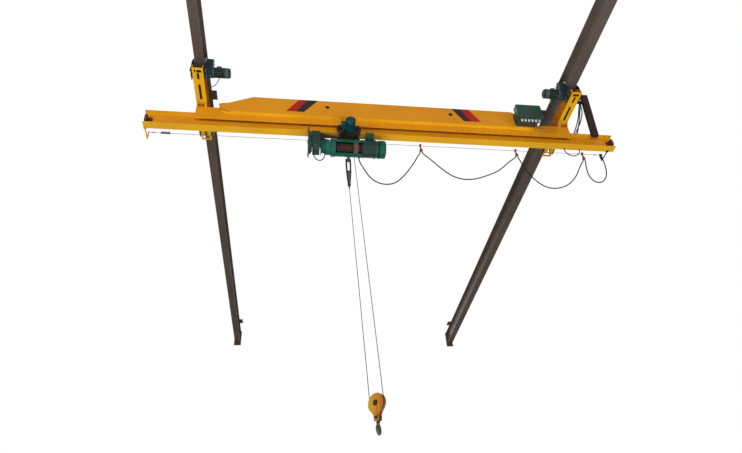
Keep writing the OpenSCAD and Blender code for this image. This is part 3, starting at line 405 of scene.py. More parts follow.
def new_material(name):
    """Material kept under its name in looks, with its tree and its Principled shader."""
    material = bpy.data.materials.new(name)
    material.use_nodes = True
    looks[name] = material
    return material.node_tree, material.node_tree.nodes["Principled BSDF"]


def put_group(tree, group, **values):
    """A node group placed in a material with its own values."""
    node = add_node(tree, "ShaderNodeGroup", node_tree=group)
    for key, value in values.items():
        node.inputs[key.replace("_", " ")].default_value = value
    return node


def add_bump(tree, height, strength, distance, target):
    """Bump from a height to a normal input."""
    bump = add_node(tree, "ShaderNodeBump")
    bump.inputs["Strength"].default_value = strength
    bump.inputs["Distance"].default_value = distance
    join(tree, height, bump.inputs["Height"])
    join(tree, bump.outputs["Normal"], target)


def cover(tree, shader, colour, roughness, height, strength, depth):
    """Gives a shader its colour, its roughness and a bump of a height."""
    join(tree, colour, shader.inputs["Base Color"])
    join(tree, roughness, shader.inputs["Roughness"])
    add_bump(tree, height, strength, depth, shader.inputs["Normal"])


PRIMER_BROWN = (0.16, 0.10, 0.07)
PAINT_SHINE, ROPE_SHINE = 0.12, 0.1
MOST_AGING = 1.3


def painted(name, paint, faded, dirt, amounts, primer, recolour, shine):
    """Weathered paint with chips down to primer; recolour(tree) may give the clean paint its own pattern, which for
    some paints holds painted light and shade by the way the faces point.
    """
    fading, grime, gloss, chip = amounts
    tree, shader = new_material(name)
    aged = put_group(tree, weathering, Paint=paint + (1,), Faded=faded + (1,), Dirt=dirt + (1,),
                     Fading=fading, Grime=grime, Gloss=gloss)
    if recolour:
        fresh = recolour(tree)
        join(tree, fresh, aged.inputs["Paint"])
        aging = tuple(min(late / early, MOST_AGING) for late, early in zip(faded, paint))
        join(tree, mix_colour(tree, 1.0, fresh, aging, "MULTIPLY"), aged.inputs["Faded"])
    broken = put_group(tree, chips, Amount=chip)
    worn = mix_colour(tree, broken.outputs["Mask"], aged.outputs["Color"], primer)
    cover(tree, shader, worn, aged.outputs["Roughness"], aged.outputs["Height"], 0.18, 0.0006)
    shader.inputs["Specular IOR Level"].default_value = shine


# Colours of the crane's paints, with the painted light and shade given to some faces

# The second yellow is painted light: a lighter yellow for faces that face down, as if lit from below
YELLOW, YELLOW_LIT_UNDERSIDE = (0.62, 0.245, 0.005), (0.68, 0.36, 0.010)
YELLOW_AGED, YELLOW_DIRT = (0.50, 0.17, 0.005), (0.22, 0.07, 0.006)
STRIPE_RED, STRIPE_DARK = (0.36, 0.006, 0.004), (0.014, 0.009, 0.010)
# Painted shade on the end carriages' side faces: browner on those that face left, darker on those that face right
CARRIAGE_LEFT_SHADE, CARRIAGE_RIGHT_SHADE = (0.40, 0.125, 0.006), (0.32, 0.090, 0.006)
BLOCK_OLIVE, BLOCK_ORANGE, BLOCK_BROWN = (0.46, 0.275, 0.010), (0.36, 0.125, 0.008), (0.20, 0.085, 0.012)
STREAK_RED = (0.46, 0.060, 0.008)
HOIST_TEAL, SHELL_GREY = (0.002, 0.066, 0.046), (0.009, 0.024, 0.016)
FIN_SHADOW, FIN_CREST = (0.004, 0.008, 0.007), (0.050, 0.085, 0.068)
GREASE_BLACK, ROPE_GREASE = (0.011, 0.008, 0.007), (0.010, 0.007, 0.005)

# Stripes on the girder's box: lower and upper ends of each slanted edge along X, and their heights
STRIPE_LOW, STRIPE_HIGH = -0.705, -0.440
STRIPES = [((1.211, 1.393), (1.355, 1.511), STRIPE_RED), ((1.355, 1.511), (1.470, 1.674), STRIPE_DARK),
           ((3.873, 3.714), (3.982, 3.849), STRIPE_DARK), ((3.982, 3.849), (4.138, 3.984), STRIPE_RED)]


def yellow_lit_from_below(tree):
    """Yellow that is deeper on the upright faces and lighter on those that face down: painted light from below on the
    undersides.
    """
    down = ramp(tree, multiply(tree, normal_parts(tree)[2], -1.0), 0.25, 0.9)
    return mix_colour(tree, down, YELLOW, YELLOW_LIT_UNDERSIDE)


def flank_and_front(tree):
    """The same yellow with painted shade by the way the faces point: browner on a carriage's left faces and darker
    still on its right ones.
    """
    x = normal_parts(tree)[0]
    left, right = ramp(tree, multiply(tree, x, -1.0), 0.5, 0.9), ramp(tree, x, 0.5, 0.9)
    flank = mix_colour(tree, left, yellow_lit_from_below(tree), CARRIAGE_LEFT_SHADE)
    return mix_colour(tree, right, flank, CARRIAGE_RIGHT_SHADE)


def finned_green(tree):
    """Grey-green of the drive motors, near black between the fins: by the distance from the motors' axis."""
    _, y, z = place_parts(tree)
    across, up = subtract(tree, y, Y_DRIVE), subtract(tree, z, Z_DRIVE)
    square = add(tree, multiply(tree, across, across), multiply(tree, up, up))
    crest = ramp(tree, math_node(tree, "SQRT", square), DRIVE_RADIUS * 0.88, DRIVE_RADIUS * 0.97)
    return mix_colour(tree, crest, FIN_SHADOW, FIN_CREST)


def bracket_paint(tree):
    """The wire's left bracket in the girder's yellow, its right one greasy black."""
    return mix_colour(tree, ramp(tree, place_parts(tree)[0], 0.0, 0.1), YELLOW, GREASE_BLACK)


def striped_yellow(tree):
    """The box's yellow with slanted bands: inside where x lies between two straight edges x0 + k (z - z0)."""
    colour = yellow_lit_from_below(tree)
    x, y, z = place_parts(tree)
    front = ramp(tree, y, BOX_LOW[1] + 0.004, BOX_LOW[1] + 0.002)
    inside_height = multiply(tree, ramp(tree, z, STRIPE_LOW - 0.002, STRIPE_LOW), front)
    wobble = multiply(tree, subtract(tree, place_noise(tree, 60, detail=3), 0.5), 0.006)
    height = subtract(tree, z, STRIPE_LOW)
    for left, right, paint in STRIPES:
        mask = inside_height
        for (low_x, high_x), sign in ((left, 1.0), (right, -1.0)):
            slope = (high_x - low_x) / (STRIPE_HIGH - STRIPE_LOW)
            edge = add(tree, multiply(tree, height, slope), low_x)
            offset = add(tree, subtract(tree, x, edge), wobble)
            mask = multiply(tree, mask, ramp(tree, multiply(tree, offset, sign), -0.001, 0.001))
        colour = mix_colour(tree, mask, colour, paint)
    return colour


def streaked_cover(tree):
    """Olive yellow of the block's cheeks, browner to one side, with a red streak from the hub down to the neck."""
    x, y, z = place_parts(tree)
    across = add(tree, multiply(tree, subtract(tree, x, SHEAVE[0]), math.cos(BLOCK_TURN)),
                 multiply(tree, subtract(tree, y, SHEAVE[1]), math.sin(BLOCK_TURN)))
    down = subtract(tree, SHEAVE[2], z)
    colour = mix_colour(tree, ramp(tree, across, -0.09, 0.09), BLOCK_OLIVE, BLOCK_ORANGE)
    colour = mix_colour(tree, multiply(tree, ramp(tree, down, 0.09, 0.17), 0.6), colour, BLOCK_BROWN)
    aside = math_node(tree, "ABSOLUTE", subtract(tree, across, multiply(tree, down, 0.22)))
    ragged = multiply(tree, subtract(tree, place_noise(tree, 30, detail=5), 0.5), 0.03)
    streak = ramp(tree, subtract(tree, add(tree, 0.011, ragged), aside), -0.003, 0.003)
    length = multiply(tree, ramp(tree, down, 0.015, 0.03), ramp(tree, down, 0.165, 0.14))
    return mix_colour(tree, multiply(tree, streak, length, 0.8), colour, STREAK_RED)


def shell_teal(tree):
    """Teal of the hoist's shell, greyer and darker to the right of its window."""
    right = ramp(tree, place_parts(tree)[0], X_TROLLEY + 0.165, X_TROLLEY + 0.185)
    return mix_colour(tree, right, HOIST_TEAL, SHELL_GREY)


def bare_metal(name, bright, dull, rust, rust_amount, gloss):
    """Worn steel: brushed variation between two greys with rust in patches."""
    tree, shader = new_material(name)
    brushed = ramp(tree, place_noise(tree, 90, (1, 1, 6), detail=5), 0.3, 0.7)
    steel = mix_colour(tree, brushed, dull, bright)
    patch = multiply(tree, ramp(tree, place_noise(tree, 18, detail=8, rough=0.7), 0.45, 0.62), rust_amount)
    join(tree, subtract(tree, 0.95, multiply(tree, patch, 0.8)), shader.inputs["Metallic"])
    cover(tree, shader, mix_colour(tree, patch, steel, rust), add(tree, multiply(tree, patch, 0.35), gloss),
          place_noise(tree, 240, detail=3), 0.2, 0.0004)


def strand_metal(name, light, dark, angle_of, grease):
    """Wire rope: light strands with dark valleys, from the sine of the angle that angle_of(tree) gives."""
    tree, shader = new_material(name)
    crown = ramp(tree, math_node(tree, "ABSOLUTE", math_node(tree, "SINE", angle_of(tree))), 0.15, 0.85)
    clean = mix_colour(tree, crown, dark, light)
    wet = multiply(tree, ramp(tree, place_noise(tree, 40, detail=5), 0.4, 0.65), grease)
    shader.inputs["Specular IOR Level"].default_value = ROPE_SHINE
    cover(tree, shader, mix_colour(tree, wet, clean, ROPE_GREASE), subtract(tree, 0.80, multiply(tree, wet, 0.20)),
          crown, 0.6, 0.0008)


def drum_rope_angle(tree):
    """Angle round the drum's axis times the strand count, plus the place along the drum."""
    x, y, z = place_parts(tree)
    turn = math_node(tree, "ARCTAN2", subtract(tree, z, Z_DRUM), subtract(tree, y, Y_GIRDER))
    return add(tree, multiply(tree, turn, 60.0), multiply(tree, x, 520.0))


def wire_place(tree):
    """Slanted place along X, for a straight laid wire."""
    x, y, z = place_parts(tree)
    return add(tree, multiply(tree, x, 420.0), multiply(tree, add(tree, y, z), 500.0))


def rope_place(tree):
    """Place along Z, for the hanging rope falls."""
    return multiply(tree, place_parts(tree)[2], 420.0)


def cable_rubber(name, clean, dust):
    """Black cable jacket: dusty in patches, with a fine grain."""
    tree, shader = new_material(name)
    dusty = multiply(tree, ramp(tree, place_noise(tree, 30, detail=6), 0.42, 0.68), 0.55)
    shader.inputs["Specular IOR Level"].default_value = ROPE_SHINE
    cover(tree, shader, mix_colour(tree, dusty, clean, dust), add(tree, multiply(tree, dusty, 0.2), 0.65),
          place_noise(tree, 260, detail=3), 0.25, 0.0005)


def plastic(name, colour, worn, gloss):
    """Moulded plastic with worn, dusty patches and a fine grain."""
    tree, shader = new_material(name)
    patch = ramp(tree, place_noise(tree, 70, detail=6, rough=0.7), 0.45, 0.68)
    cover(tree, shader, mix_colour(tree, patch, colour, worn), add(tree, multiply(tree, patch, 0.2), gloss),
          place_noise(tree, 700, detail=2), 0.15, 0.0003)


# Paints: name, paint, faded, dirt, amounts of fading, grime, gloss and chips, primer below
PAINTS = [
    ("crane_yellow", YELLOW, YELLOW_AGED, YELLOW_DIRT, (0.55, 0.34, 0.34, 0.35), PRIMER_BROWN),
    ("box_yellow_striped", YELLOW, YELLOW_AGED, YELLOW_DIRT, (0.4, 0.22, 0.30, 0.2), PRIMER_BROWN),
    ("weld_yellow", YELLOW, YELLOW_AGED, YELLOW_DIRT, (0.5, 0.5, 0.36, 0.2), PRIMER_BROWN),
    ("carriage_yellow", (0.62, 0.27, 0.010), (0.58, 0.27, 0.012), (0.10, 0.035, 0.006),
     (0.6, 0.65, 0.55, 1.0), (0.10, 0.045, 0.020)),
    ("hook_block_yellow", BLOCK_OLIVE, (0.30, 0.14, 0.012), (0.05, 0.025, 0.010),
     (0.4, 0.5, 0.50, 0.8), (0.06, 0.045, 0.035)),
    ("runway_grey_brown", (0.072, 0.052, 0.042), (0.105, 0.080, 0.066), (0.030, 0.020, 0.016),
     (0.7, 0.35, 0.6, 0.3), (0.12, 0.045, 0.020)),
    ("hoist_green", (0.002, 0.056, 0.034), (0.006, 0.078, 0.050), (0.005, 0.010, 0.008),
     (0.5, 0.60, 0.42, 0.6), (0.025, 0.022, 0.020)),
    ("hoist_teal", HOIST_TEAL, (0.006, 0.090, 0.068), (0.005, 0.009, 0.008),
     (0.6, 0.65, 0.42, 0.7), (0.035, 0.030, 0.026)),
    ("hoist_shell_teal", HOIST_TEAL, (0.008, 0.070, 0.052), (0.005, 0.008, 0.007),
     (0.5, 0.65, 0.44, 0.7), (0.035, 0.030, 0.026)),
    ("travel_motor_teal", (0.002, 0.040, 0.038), (0.006, 0.062, 0.068), (0.004, 0.007, 0.008),
     (0.6, 0.65, 0.40, 0.7), (0.030, 0.028, 0.026)),
    ("drive_green", (0.016, 0.036, 0.028), (0.040, 0.062, 0.050), (0.008, 0.009, 0.008),
     (0.6, 0.65, 0.5, 0.9), (0.040, 0.030, 0.024)),
    ("control_box_teal", (0.012, 0.042, 0.026), (0.026, 0.058, 0.040), (0.008, 0.012, 0.009),
     (0.5, 0.4, 0.40, 0.25), (0.040, 0.030, 0.024)),
    ("bracket_blue_grey", (0.008, 0.018, 0.026), (0.018, 0.032, 0.042), (0.007, 0.006, 0.006),
     (0.6, 0.5, 0.55, 0.6), (0.08, 0.035, 0.018)),
    ("end_stop_brown", (0.075, 0.026, 0.012), (0.050, 0.020, 0.011), (0.016, 0.008, 0.005),
     (0.6, 0.5, 0.5, 0.5), (0.16, 0.06, 0.03)),
    ("greasy_black_steel", GREASE_BLACK, (0.026, 0.018, 0.014), (0.005, 0.004, 0.003),
     (0.7, 0.5, 0.48, 0.5), (0.07, 0.03, 0.018)),
    ("wire_bracket_paint", GREASE_BLACK, (0.014, 0.010, 0.008), (0.010, 0.006, 0.004),
     (0.6, 0.6, 0.5, 0.6), (0.07, 0.03, 0.018)),
    ("mast_dark_brown", (0.018, 0.009, 0.008), (0.034, 0.017, 0.014), (0.007, 0.004, 0.003),
     (0.6, 0.4, 0.6, 0.6), (0.12, 0.045, 0.02)),
    ("rack_dark_green", (0.016, 0.040, 0.029), (0.034, 0.062, 0.048), (0.007, 0.008, 0.007),
     (0.6, 0.7, 0.5, 0.9), (0.040, 0.034, 0.030)),
    ("rope_guide_brown", (0.070, 0.040, 0.032), (0.100, 0.062, 0.052), (0.018, 0.010, 0.007),
     (0.6, 0.5, 0.55, 0.5), (0.05, 0.025, 0.02)),
    ("hook_dark_green", (0.034, 0.036, 0.022), (0.060, 0.060, 0.038), (0.012, 0.010, 0.008),
     (0.6, 0.55, 0.5, 1.0), (0.09, 0.075, 0.06)),
]
PATTERNS = {"crane_yellow": yellow_lit_from_below, "box_yellow_striped": striped_yellow,
            "weld_yellow": yellow_lit_from_below, "carriage_yellow": flank_and_front,
            "hook_block_yellow": streaked_cover, "hoist_shell_teal": shell_teal,
            "drive_green": finned_green, "wire_bracket_paint": bracket_paint}
for name, paint, faded, dirt, amounts, primer in PAINTS:
    shine = 0.0 if name == "carriage_yellow" else PAINT_SHINE
    painted(name, paint, faded, dirt, amounts, primer, PATTERNS.get(name), shine)

bare_metal("wheel_steel", (0.22, 0.21, 0.20), (0.11, 0.10, 0.095), (0.10, 0.045, 0.025), 0.6, 0.42)
bare_metal("bolt_steel", (0.15, 0.14, 0.13), (0.07, 0.066, 0.06), (0.09, 0.04, 0.022), 0.5, 0.48)
bare_metal("wedge_socket_steel", (0.13, 0.125, 0.115), (0.06, 0.056, 0.05), (0.06, 0.04, 0.028), 0.6, 0.5)
bare_metal("brass_plug", (0.56, 0.40, 0.16), (0.34, 0.23, 0.09), (0.06, 0.04, 0.02), 0.5, 0.35)
strand_metal("hoist_rope", (0.020, 0.014, 0.010), (0.004, 0.003, 0.002), rope_place, 0.6)
strand_metal("cable_wire_strand", (0.14, 0.13, 0.12), (0.04, 0.038, 0.036), wire_place, 0.2)
strand_metal("drum_rope", (0.066, 0.034, 0.026), (0.008, 0.004, 0.003), drum_rope_angle, 0.5)
strand_metal("sling_rope", (0.026, 0.021, 0.017), (0.005, 0.004, 0.003), rope_place, 0.8)
cable_rubber("cable_jacket", (0.006, 0.005, 0.004), (0.022, 0.017, 0.013))
plastic("buffer_rubber", (0.018, 0.016, 0.015), (0.050, 0.045, 0.040), 0.6)
plastic("carrier_red", (0.52, 0.018, 0.014), (0.34, 0.030, 0.022), 0.38)
plastic("gland_grey", (0.56, 0.57, 0.53), (0.34, 0.34, 0.31), 0.4)
# Dark brown for the painted shadow lines at the box's ends, and for the saddle's outline
plastic("seam_and_shadow_brown", (0.070, 0.022, 0.004), (0.12, 0.045, 0.008), 0.7)
# Black of rubber and plastic parts, also used for the painted shadow under the control box
plastic("rubber_and_shadow_black", (0.014, 0.013, 0.013), (0.032, 0.028, 0.026), 0.55)

# Material of each of the frame's nodes
NODE_LOOKS = {
    "runway_grey_brown": "runway_left runway_right hanger_plates runway_stops",
    "buffer_rubber": "runway_buffers",
    "crane_yellow": "girder_beam girder_skirts saddle_left saddle_right",
    "box_yellow_striped": "girder_box",
    "carriage_yellow": "end_carriage_left end_carriage_right",
    "bracket_blue_grey": "wheel_brackets_left wheel_brackets_right drive_gearcase_left drive_gearcase_right",
    "wheel_steel": "bridge_wheels_near bridge_wheels_far",
    "drive_green": "drive_motor_left drive_motor_right",
    "end_stop_brown": "girder_stops",
    "control_box_teal": "control_box",
    "gland_grey": "cable_glands",
    "wire_bracket_paint": "wire_brackets",
    "cable_wire_strand": "cable_wire",
    "mast_dark_brown": "cable_mast",
    "greasy_black_steel": "trolley_frame trolley_wheels_left trolley_wheels_right hoist_tie_bars block_crosshead",
    "travel_motor_teal": "trolley_motor",
    "hoist_shell_teal": "hoist_shell",
    "hoist_teal": "hoist_gearbox",
    "hoist_green": "hoist_motor hoist_terminal_box",
    "rack_dark_green": "hoist_control_box",
    "drum_rope": "drum",
    "rope_guide_brown": "rope_guide",
    "wedge_socket_steel": "rope_anchor sheave",
    "hoist_rope": "rope_bight",
    "hook_block_yellow": "block_cheeks",
    "hook_dark_green": "hook",
    "carrier_red": "cable_carrier_left cable_carrier_middle cable_carrier_right",
}
for look, names in NODE_LOOKS.items():
    for name in names.split():
        nodes[name].data.materials.clear()
        nodes[name].data.materials.append(looks[look])


def finish_piece(piece, look, body=None):
    """Gives a piece its material and the body that it moves with."""
    piece.data.materials.append(looks[look])
    if body:
        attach(piece, body)
    return piece


def fitting(name, shapes, look, body, smooth=True):
    """Small piece made of several shapes, with its material and the body that it moves with."""
    finish_piece(many_shapes(name, shapes, smooth), look, body)


# Cables: the routes of the source, in metres

def upright(y, places):
    """Route through (x, z) places in one upright plane."""
    return [(x, y, z) for x, z in places]


Y_LOOPS, Y_LEAD, Y_MAST, Y_ENTRY = 0.005, -0.235, -0.548, -0.277
ROUTES = {
    "festoon_cable_1": [
        (2.280, -0.069, -1.298), (2.280, -0.069, -1.340), (2.300, -0.059, -1.405), (2.337, -0.044, -1.475),
        (2.382, -0.028, -1.555), (2.436, -0.015, -1.635), (2.510, -0.005, -1.700), (2.605, 0.002, -1.735)
    ] + upright(Y_LOOPS, [
        (2.710, -1.733), (2.810, -1.690), (2.900, -1.597), (2.980, -1.492), (3.054, -1.376), (3.125, -1.250),
        (3.185, -1.135), (3.224, -1.066), (3.233, -1.020)]),
    "festoon_cable_2": upright(Y_LOOPS, [
        (3.259, -1.020), (3.262, -1.052), (3.290, -1.100), (3.350, -1.165), (3.418, -1.250), (3.495, -1.347),
        (3.580, -1.440), (3.680, -1.522), (3.790, -1.565), (3.910, -1.573), (4.030, -1.547), (4.150, -1.498),
        (4.270, -1.440), (4.385, -1.370), (4.490, -1.280), (4.590, -1.175), (4.680, -1.100), (4.728, -1.058),
        (4.742, -1.020)]),
    "festoon_cable_3": upright(Y_LOOPS, [
        (4.768, -1.020), (4.770, -1.055), (4.785, -1.120), (4.812, -1.225), (4.850, -1.345), (4.905, -1.465),
        (4.985, -1.580), (5.090, -1.660), (5.210, -1.677), (5.330, -1.650), (5.440, -1.590), (5.540, -1.500),
        (5.630, -1.385), (5.710, -1.250), (5.785, -1.125), (5.832, -1.062), (5.842, -1.020)]),
    "festoon_cable_4": upright(Y_LOOPS, [
        (5.868, -1.020), (5.868, -1.055), (5.852, -1.140), (5.838, -1.230), (5.834, -1.320), (5.842, -1.400),
        (5.870, -1.470), (5.925, -1.512), (5.990, -1.510), (6.050, -1.470), (6.103, -1.400), (6.141, -1.310),
        (6.164, -1.210), (6.173, -1.110), (6.174, -1.010), (6.174, -0.924)]),
    "hoist_cable": upright(Y_LEAD, [
        (1.612, -1.358), (1.612, -1.400), (1.620, -1.462), (1.646, -1.526), (1.690, -1.562), (1.738, -1.548),
        (1.766, -1.495), (1.775, -1.430), (1.776, -1.354)]),
    "girder_cable": [
        (5.440, -0.200, -1.026), (5.440, -0.200, -1.056), (5.456, -0.194, -1.104), (5.498, -0.188, -1.146),
        (5.562, -0.184, -1.162), (5.626, -0.188, -1.146), (5.670, -0.194, -1.104), (5.686, -0.200, -1.056),
        (5.686, -0.200, -1.026)],
    "mast_cable_1": [
        (5.762, Y_MAST, -0.346), (5.756, -0.548, -0.375), (5.738, -0.540, -0.420), (5.722, -0.510, -0.490),
        (5.712, -0.465, -0.570), (5.706, -0.410, -0.645), (5.702, -0.350, -0.705), (5.700, -0.300, -0.745),
        (5.700, Y_ENTRY, -0.776)],
    "mast_cable_2": [
        (5.738, Y_MAST, -0.346), (5.728, -0.552, -0.380), (5.700, -0.556, -0.450), (5.672, -0.548, -0.540),
        (5.656, -0.510, -0.630), (5.648, -0.440, -0.700), (5.644, -0.360, -0.740), (5.642, -0.300, -0.756),
        (5.642, Y_ENTRY, -0.776)],
    "mast_cable_3": [
        (5.714, Y_MAST, -0.346), (5.708, -0.560, -0.385), (5.698, -0.590, -0.460), (5.690, -0.600, -0.560),
        (5.684, -0.570, -0.650), (5.678, -0.490, -0.715), (5.673, -0.390, -0.745), (5.671, -0.310, -0.752),
        (5.671, Y_ENTRY, -0.776)],
}
THICK, THIN = 0.017, 0.014
CABLE_STEP, CABLE_SIDES = 0.016, 16
LOOP_ENDS = {"festoon_cable_1": ("hoist", "left"), "festoon_cable_2": ("left", "middle"),
             "festoon_cable_3": ("middle", "right"), "festoon_cable_4": ("right", "clamp")}


def make_cables():
    """A smooth tube along each route; a festoon loop is baked where it is made, and the other cables move with the
    hoist trolley or the bridge.
    """
    for name, route in ROUTES.items():
        diameter = THIN if name in ("hoist_cable", "girder_cable") else THICK
        path = smooth_route(route, CABLE_STEP)
        piece = outward(add_mesh(name + "_jacket", *tube(path, diameter / 2, CABLE_SIDES)))
        finish_piece(piece, "cable_jacket")
        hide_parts(name)
        if name in LOOP_ENDS:
            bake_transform(piece)
        else:
            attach(piece, "hoist_trolley" if name == "hoist_cable" else "bridge")


make_cables()


# Hoist rope: two falls that end on the sheave, laid from six strands

def rope_side(side):
    """Point where the rope meets the sheave on one side."""
    reach = side * SHEAVE_ROPE_RADIUS
    return np.array([SHEAVE[0] + reach * math.cos(BLOCK_TURN), SHEAVE[1] + reach * math.sin(BLOCK_TURN), SHEAVE[2]])


def make_ropes():
    """Straight laid ropes from the wedge socket and from the drum down to the sheave."""
    socket = np.array([X_SOCKET, Y_SOCKET, Z_SOCKET])
    drum_side = np.array([X_TROLLEY + 0.070, Y_GIRDER + 0.080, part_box("rope_falls")[1][2]])
    shapes = []
    for top, side in ((socket, -1), (drum_side, 1)):
        low = rope_side(side)
        count = int(np.linalg.norm(top - low) / ROPE_STEP)
        path = top + (low - top) * np.linspace(0, 1, count)[:, None]
        shapes.append(tube(path, ROPE_RADIUS, ROPE_SIDES, twist=(STRANDS, ROPE_PITCH)))
    ropes = finish_piece(many_shapes("rope_falls_laid", shapes), "hoist_rope")
    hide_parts("rope_falls")
    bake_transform(ropes)


make_ropes()


# Bolts, welds and small fittings

def bolt_shape(spot, axis, across, height):
    """Washer, chamfered six-sided head and shank end: rings of 12 points, with the head's on a hexagon."""
    a = np.arange(12) * np.pi / 6
    hexagon = 0.5 * across / np.cos((a + np.pi / 6) % (np.pi / 3) - np.pi / 6)
    disc = np.full(12, across * 0.5)
    rows = [(disc * 1.9, 0.0), (disc * 1.9, height * 0.22), (disc * 1.25, height * 0.24), (hexagon, height * 0.24),
            (hexagon, height * 0.9), (disc * 0.93, height), (disc * 0.5, height), (disc * 0.5, height * 1.35)]
    u, v, w = frame_of(axis)
    ring = np.cos(a)[:, None] * u + np.sin(a)[:, None] * v
    points = [np.asarray(spot, float) + r[:, None] * ring + h * w for r, h in rows]
    return np.concatenate(points), capped_faces(len(rows), 12)


def bolt_rows(xs, ys, zs, axis, across, height):
    """A bolt at each combination of places along X, Y and Z."""
    return [bolt_shape((x, y, z), axis, across, height) for x in xs for y in ys for z in zs]


def bolt_ring(centre, axis, radius, count, across, start=0.0):
    """Bolt heads evenly round a circle: centre + radius (cos a u + sin a v)."""
    u, v, _ = frame_of(axis)
    angles = start + np.arange(count) * 2 * np.pi / count
    spots = [np.asarray(centre, float) + radius * (math.cos(a) * u + math.sin(a) * v) for a in angles]
    return [bolt_shape(spot, axis, across, across * 0.45) for spot in spots]


WELD_STEP, WELD_SIDES = 0.005, 10
WELD_RIPPLE, WELD_PITCH, WELD_TAPER = 0.13, 0.018, 0.01


def weld_shape(start, axis, stop, width):
    """Weld bead from start to a place stop along axis 0, 1 or 2: a rod that narrows at both ends, and whose
    radius ripples as width (1 + ripple sin(2 pi s / pitch))."""
    start = np.asarray(start, float)
    end = start.copy()
    end[axis] = stop
    length = np.linalg.norm(end - start)
    count = max(int(length / WELD_STEP), 12)
    s = np.linspace(0, length, count)
    path = start + (end - start) * (s / length)[:, None]
    points, faces = tube(path, 1.0, WELD_SIDES)
    ripple = 1 + WELD_RIPPLE * np.sin(2 * np.pi * s / WELD_PITCH)
    radius = width * ripple * np.minimum(1, 0.5 + np.minimum(s, length - s) / WELD_TAPER)
    rings = points.reshape(count, WELD_SIDES, 3)
    rings = path[:, None, :] + (rings - path[:, None, :]) * radius[:, None, None]
    return rings.reshape(-1, 3), faces


def mirrored_x(x, sign):
    """The same distance inwards from the left (1) or from the right (-1) runway's centre line."""
    return x if sign == 1 else SPAN - x


def make_bridge_bolts():
    """Bolts of the wheel brackets, axle covers, end stops and the mast's foot."""
    plate, axle_cover = 0.100, 0.110
    shapes = []
    for sign in ENDS:
        for y in (Y_AXLE_NEAR, Y_AXLE_FAR):
            for side in (-1, 1):
                axis = (sign * side, 0, 0)
                shapes += bolt_rows([mirrored_x(plate * side, sign)], (y - 0.058, y + 0.030),
                                    (Z_AXLE - 0.215, Z_AXLE - 0.262), axis, 0.022, 0.010)
                if side == -1 or y == Y_AXLE_FAR:
                    shapes += bolt_ring((mirrored_x(axle_cover * side, sign), y, Z_AXLE), axis, 0.026, 6, 0.007)
    shapes += bolt_rows((GIRDER_LOW[0] + 0.031, GIRDER_HIGH[0] - 0.031), [Y_FLANGE],
                        (Z_GIRDER + 0.075, Z_GIRDER + 0.13), NEAR, 0.018, 0.008)
    x_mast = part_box("cable_mast")[1][0]
    shapes += bolt_rows((x_mast - 0.085, x_mast - 0.025), [Y_FLANGE - 0.050],
                        (Z_BEAM - 0.045, Z_BEAM - 0.012), NEAR, 0.016, 0.007)
    fitting("bridge_bolts", shapes, "bolt_steel", "bridge", smooth=False)


def make_runway_bolts():
    """Four bolts with nuts in each hanger plate."""
    low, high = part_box("hanger_plates")
    thickness, half_width = 0.016, 0.085
    bay = (high[1] - low[1]) / 2 - half_width
    xs = [x + dx for x in (0, SPAN) for dx in (-0.1, 0.1)]
    ys = [y + dy for y in (-bay, 0, bay) for dy in (-0.055, 0.055)]
    bolts = bolt_rows(xs, ys, [-thickness], DOWN, 0.024, 0.013)
    fitting("hanger_bolts", bolts, "bolt_steel", "runways", smooth=False)


def make_girder_welds():
    """Weld beads along the skirts, the saddles, the box's foot and the carriages' edges."""
    bead, thin_bead = 0.004, 0.0035
    y_foot, z_foot = Y_FLANGE - 0.003, Z_BEAM + 0.001
    y_lip, z_lip = Y_SADDLE + 0.004, Z_BEAM + 0.1225
    half_post, z_post = 0.105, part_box("saddle_left")[1][2] - 0.002
    shapes = [weld_shape((0.415, y_foot, z_foot), ALONG_X, SPAN - 0.60, bead)]
    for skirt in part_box("girder_skirts"):
        shapes.append(weld_shape((skirt[0], Y_SADDLE, Z_BEAM - 0.118), ALONG_Z, Z_BEAM, bead))
    for sign, inner in zip(ENDS, (0.255, 0.44)):
        x_out, x_in = mirrored_x(-0.060, sign), mirrored_x(inner, sign)
        shapes.append(weld_shape((x_out, y_lip, z_lip), ALONG_X, x_in, thin_bead))
        shapes.append(weld_shape((x_out, Y_SADDLE, Z_BEAM - 0.117), ALONG_Z, Z_BEAM + 0.120, thin_bead))
        for x in (-0.063, 0.063):
            post = (mirrored_x(x, sign), Y_GIRDER - half_post, z_post)
            shapes.append(weld_shape(post, ALONG_Y, Y_GIRDER + half_post, bead))
    fitting("girder_weld_beads", shapes, "weld_yellow", "bridge")


def make_stop_welds():
    """Weld beads where the runways' stop plates meet the beams."""
    half_stop, z_foot, bead = 0.065, -0.336, 0.004
    shapes = []
    for x in (0, SPAN):
        for (_, y, _), side in zip(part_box("runway_left"), (1, -1)):
            for dx in (-half_stop, half_stop):
                shapes.append(weld_shape((x + dx, y + side * 0.002, -0.330), ALONG_Z, -0.322, bead))
            shapes.append(weld_shape((x - half_stop, y + side * 0.003, z_foot), ALONG_X, x + half_stop, bead))
    fitting("runway_weld_beads", shapes, "runway_grey_brown", "runways")


def fan_cover(start, axis, radius):
    """Fan cover: a bowl whose end steps down through ring-shaped slots round a small boss."""
    lip, floor = 0.004, 0.0005
    rows = [(radius * 0.99, -0.006), (radius, -0.0012), (radius * 0.97, 0.0), (radius * 0.9, lip)]
    for k in range(5):
        outer = radius * (0.82 - 0.14 * k)
        inner = outer - radius * 0.045
        rows += [(outer, lip), (outer, floor), (inner, floor), (inner, lip)]
    rows += [(radius * 0.12, lip), (radius * 0.06, 0.006)]
    return lathe(rows, start, axis, 40)


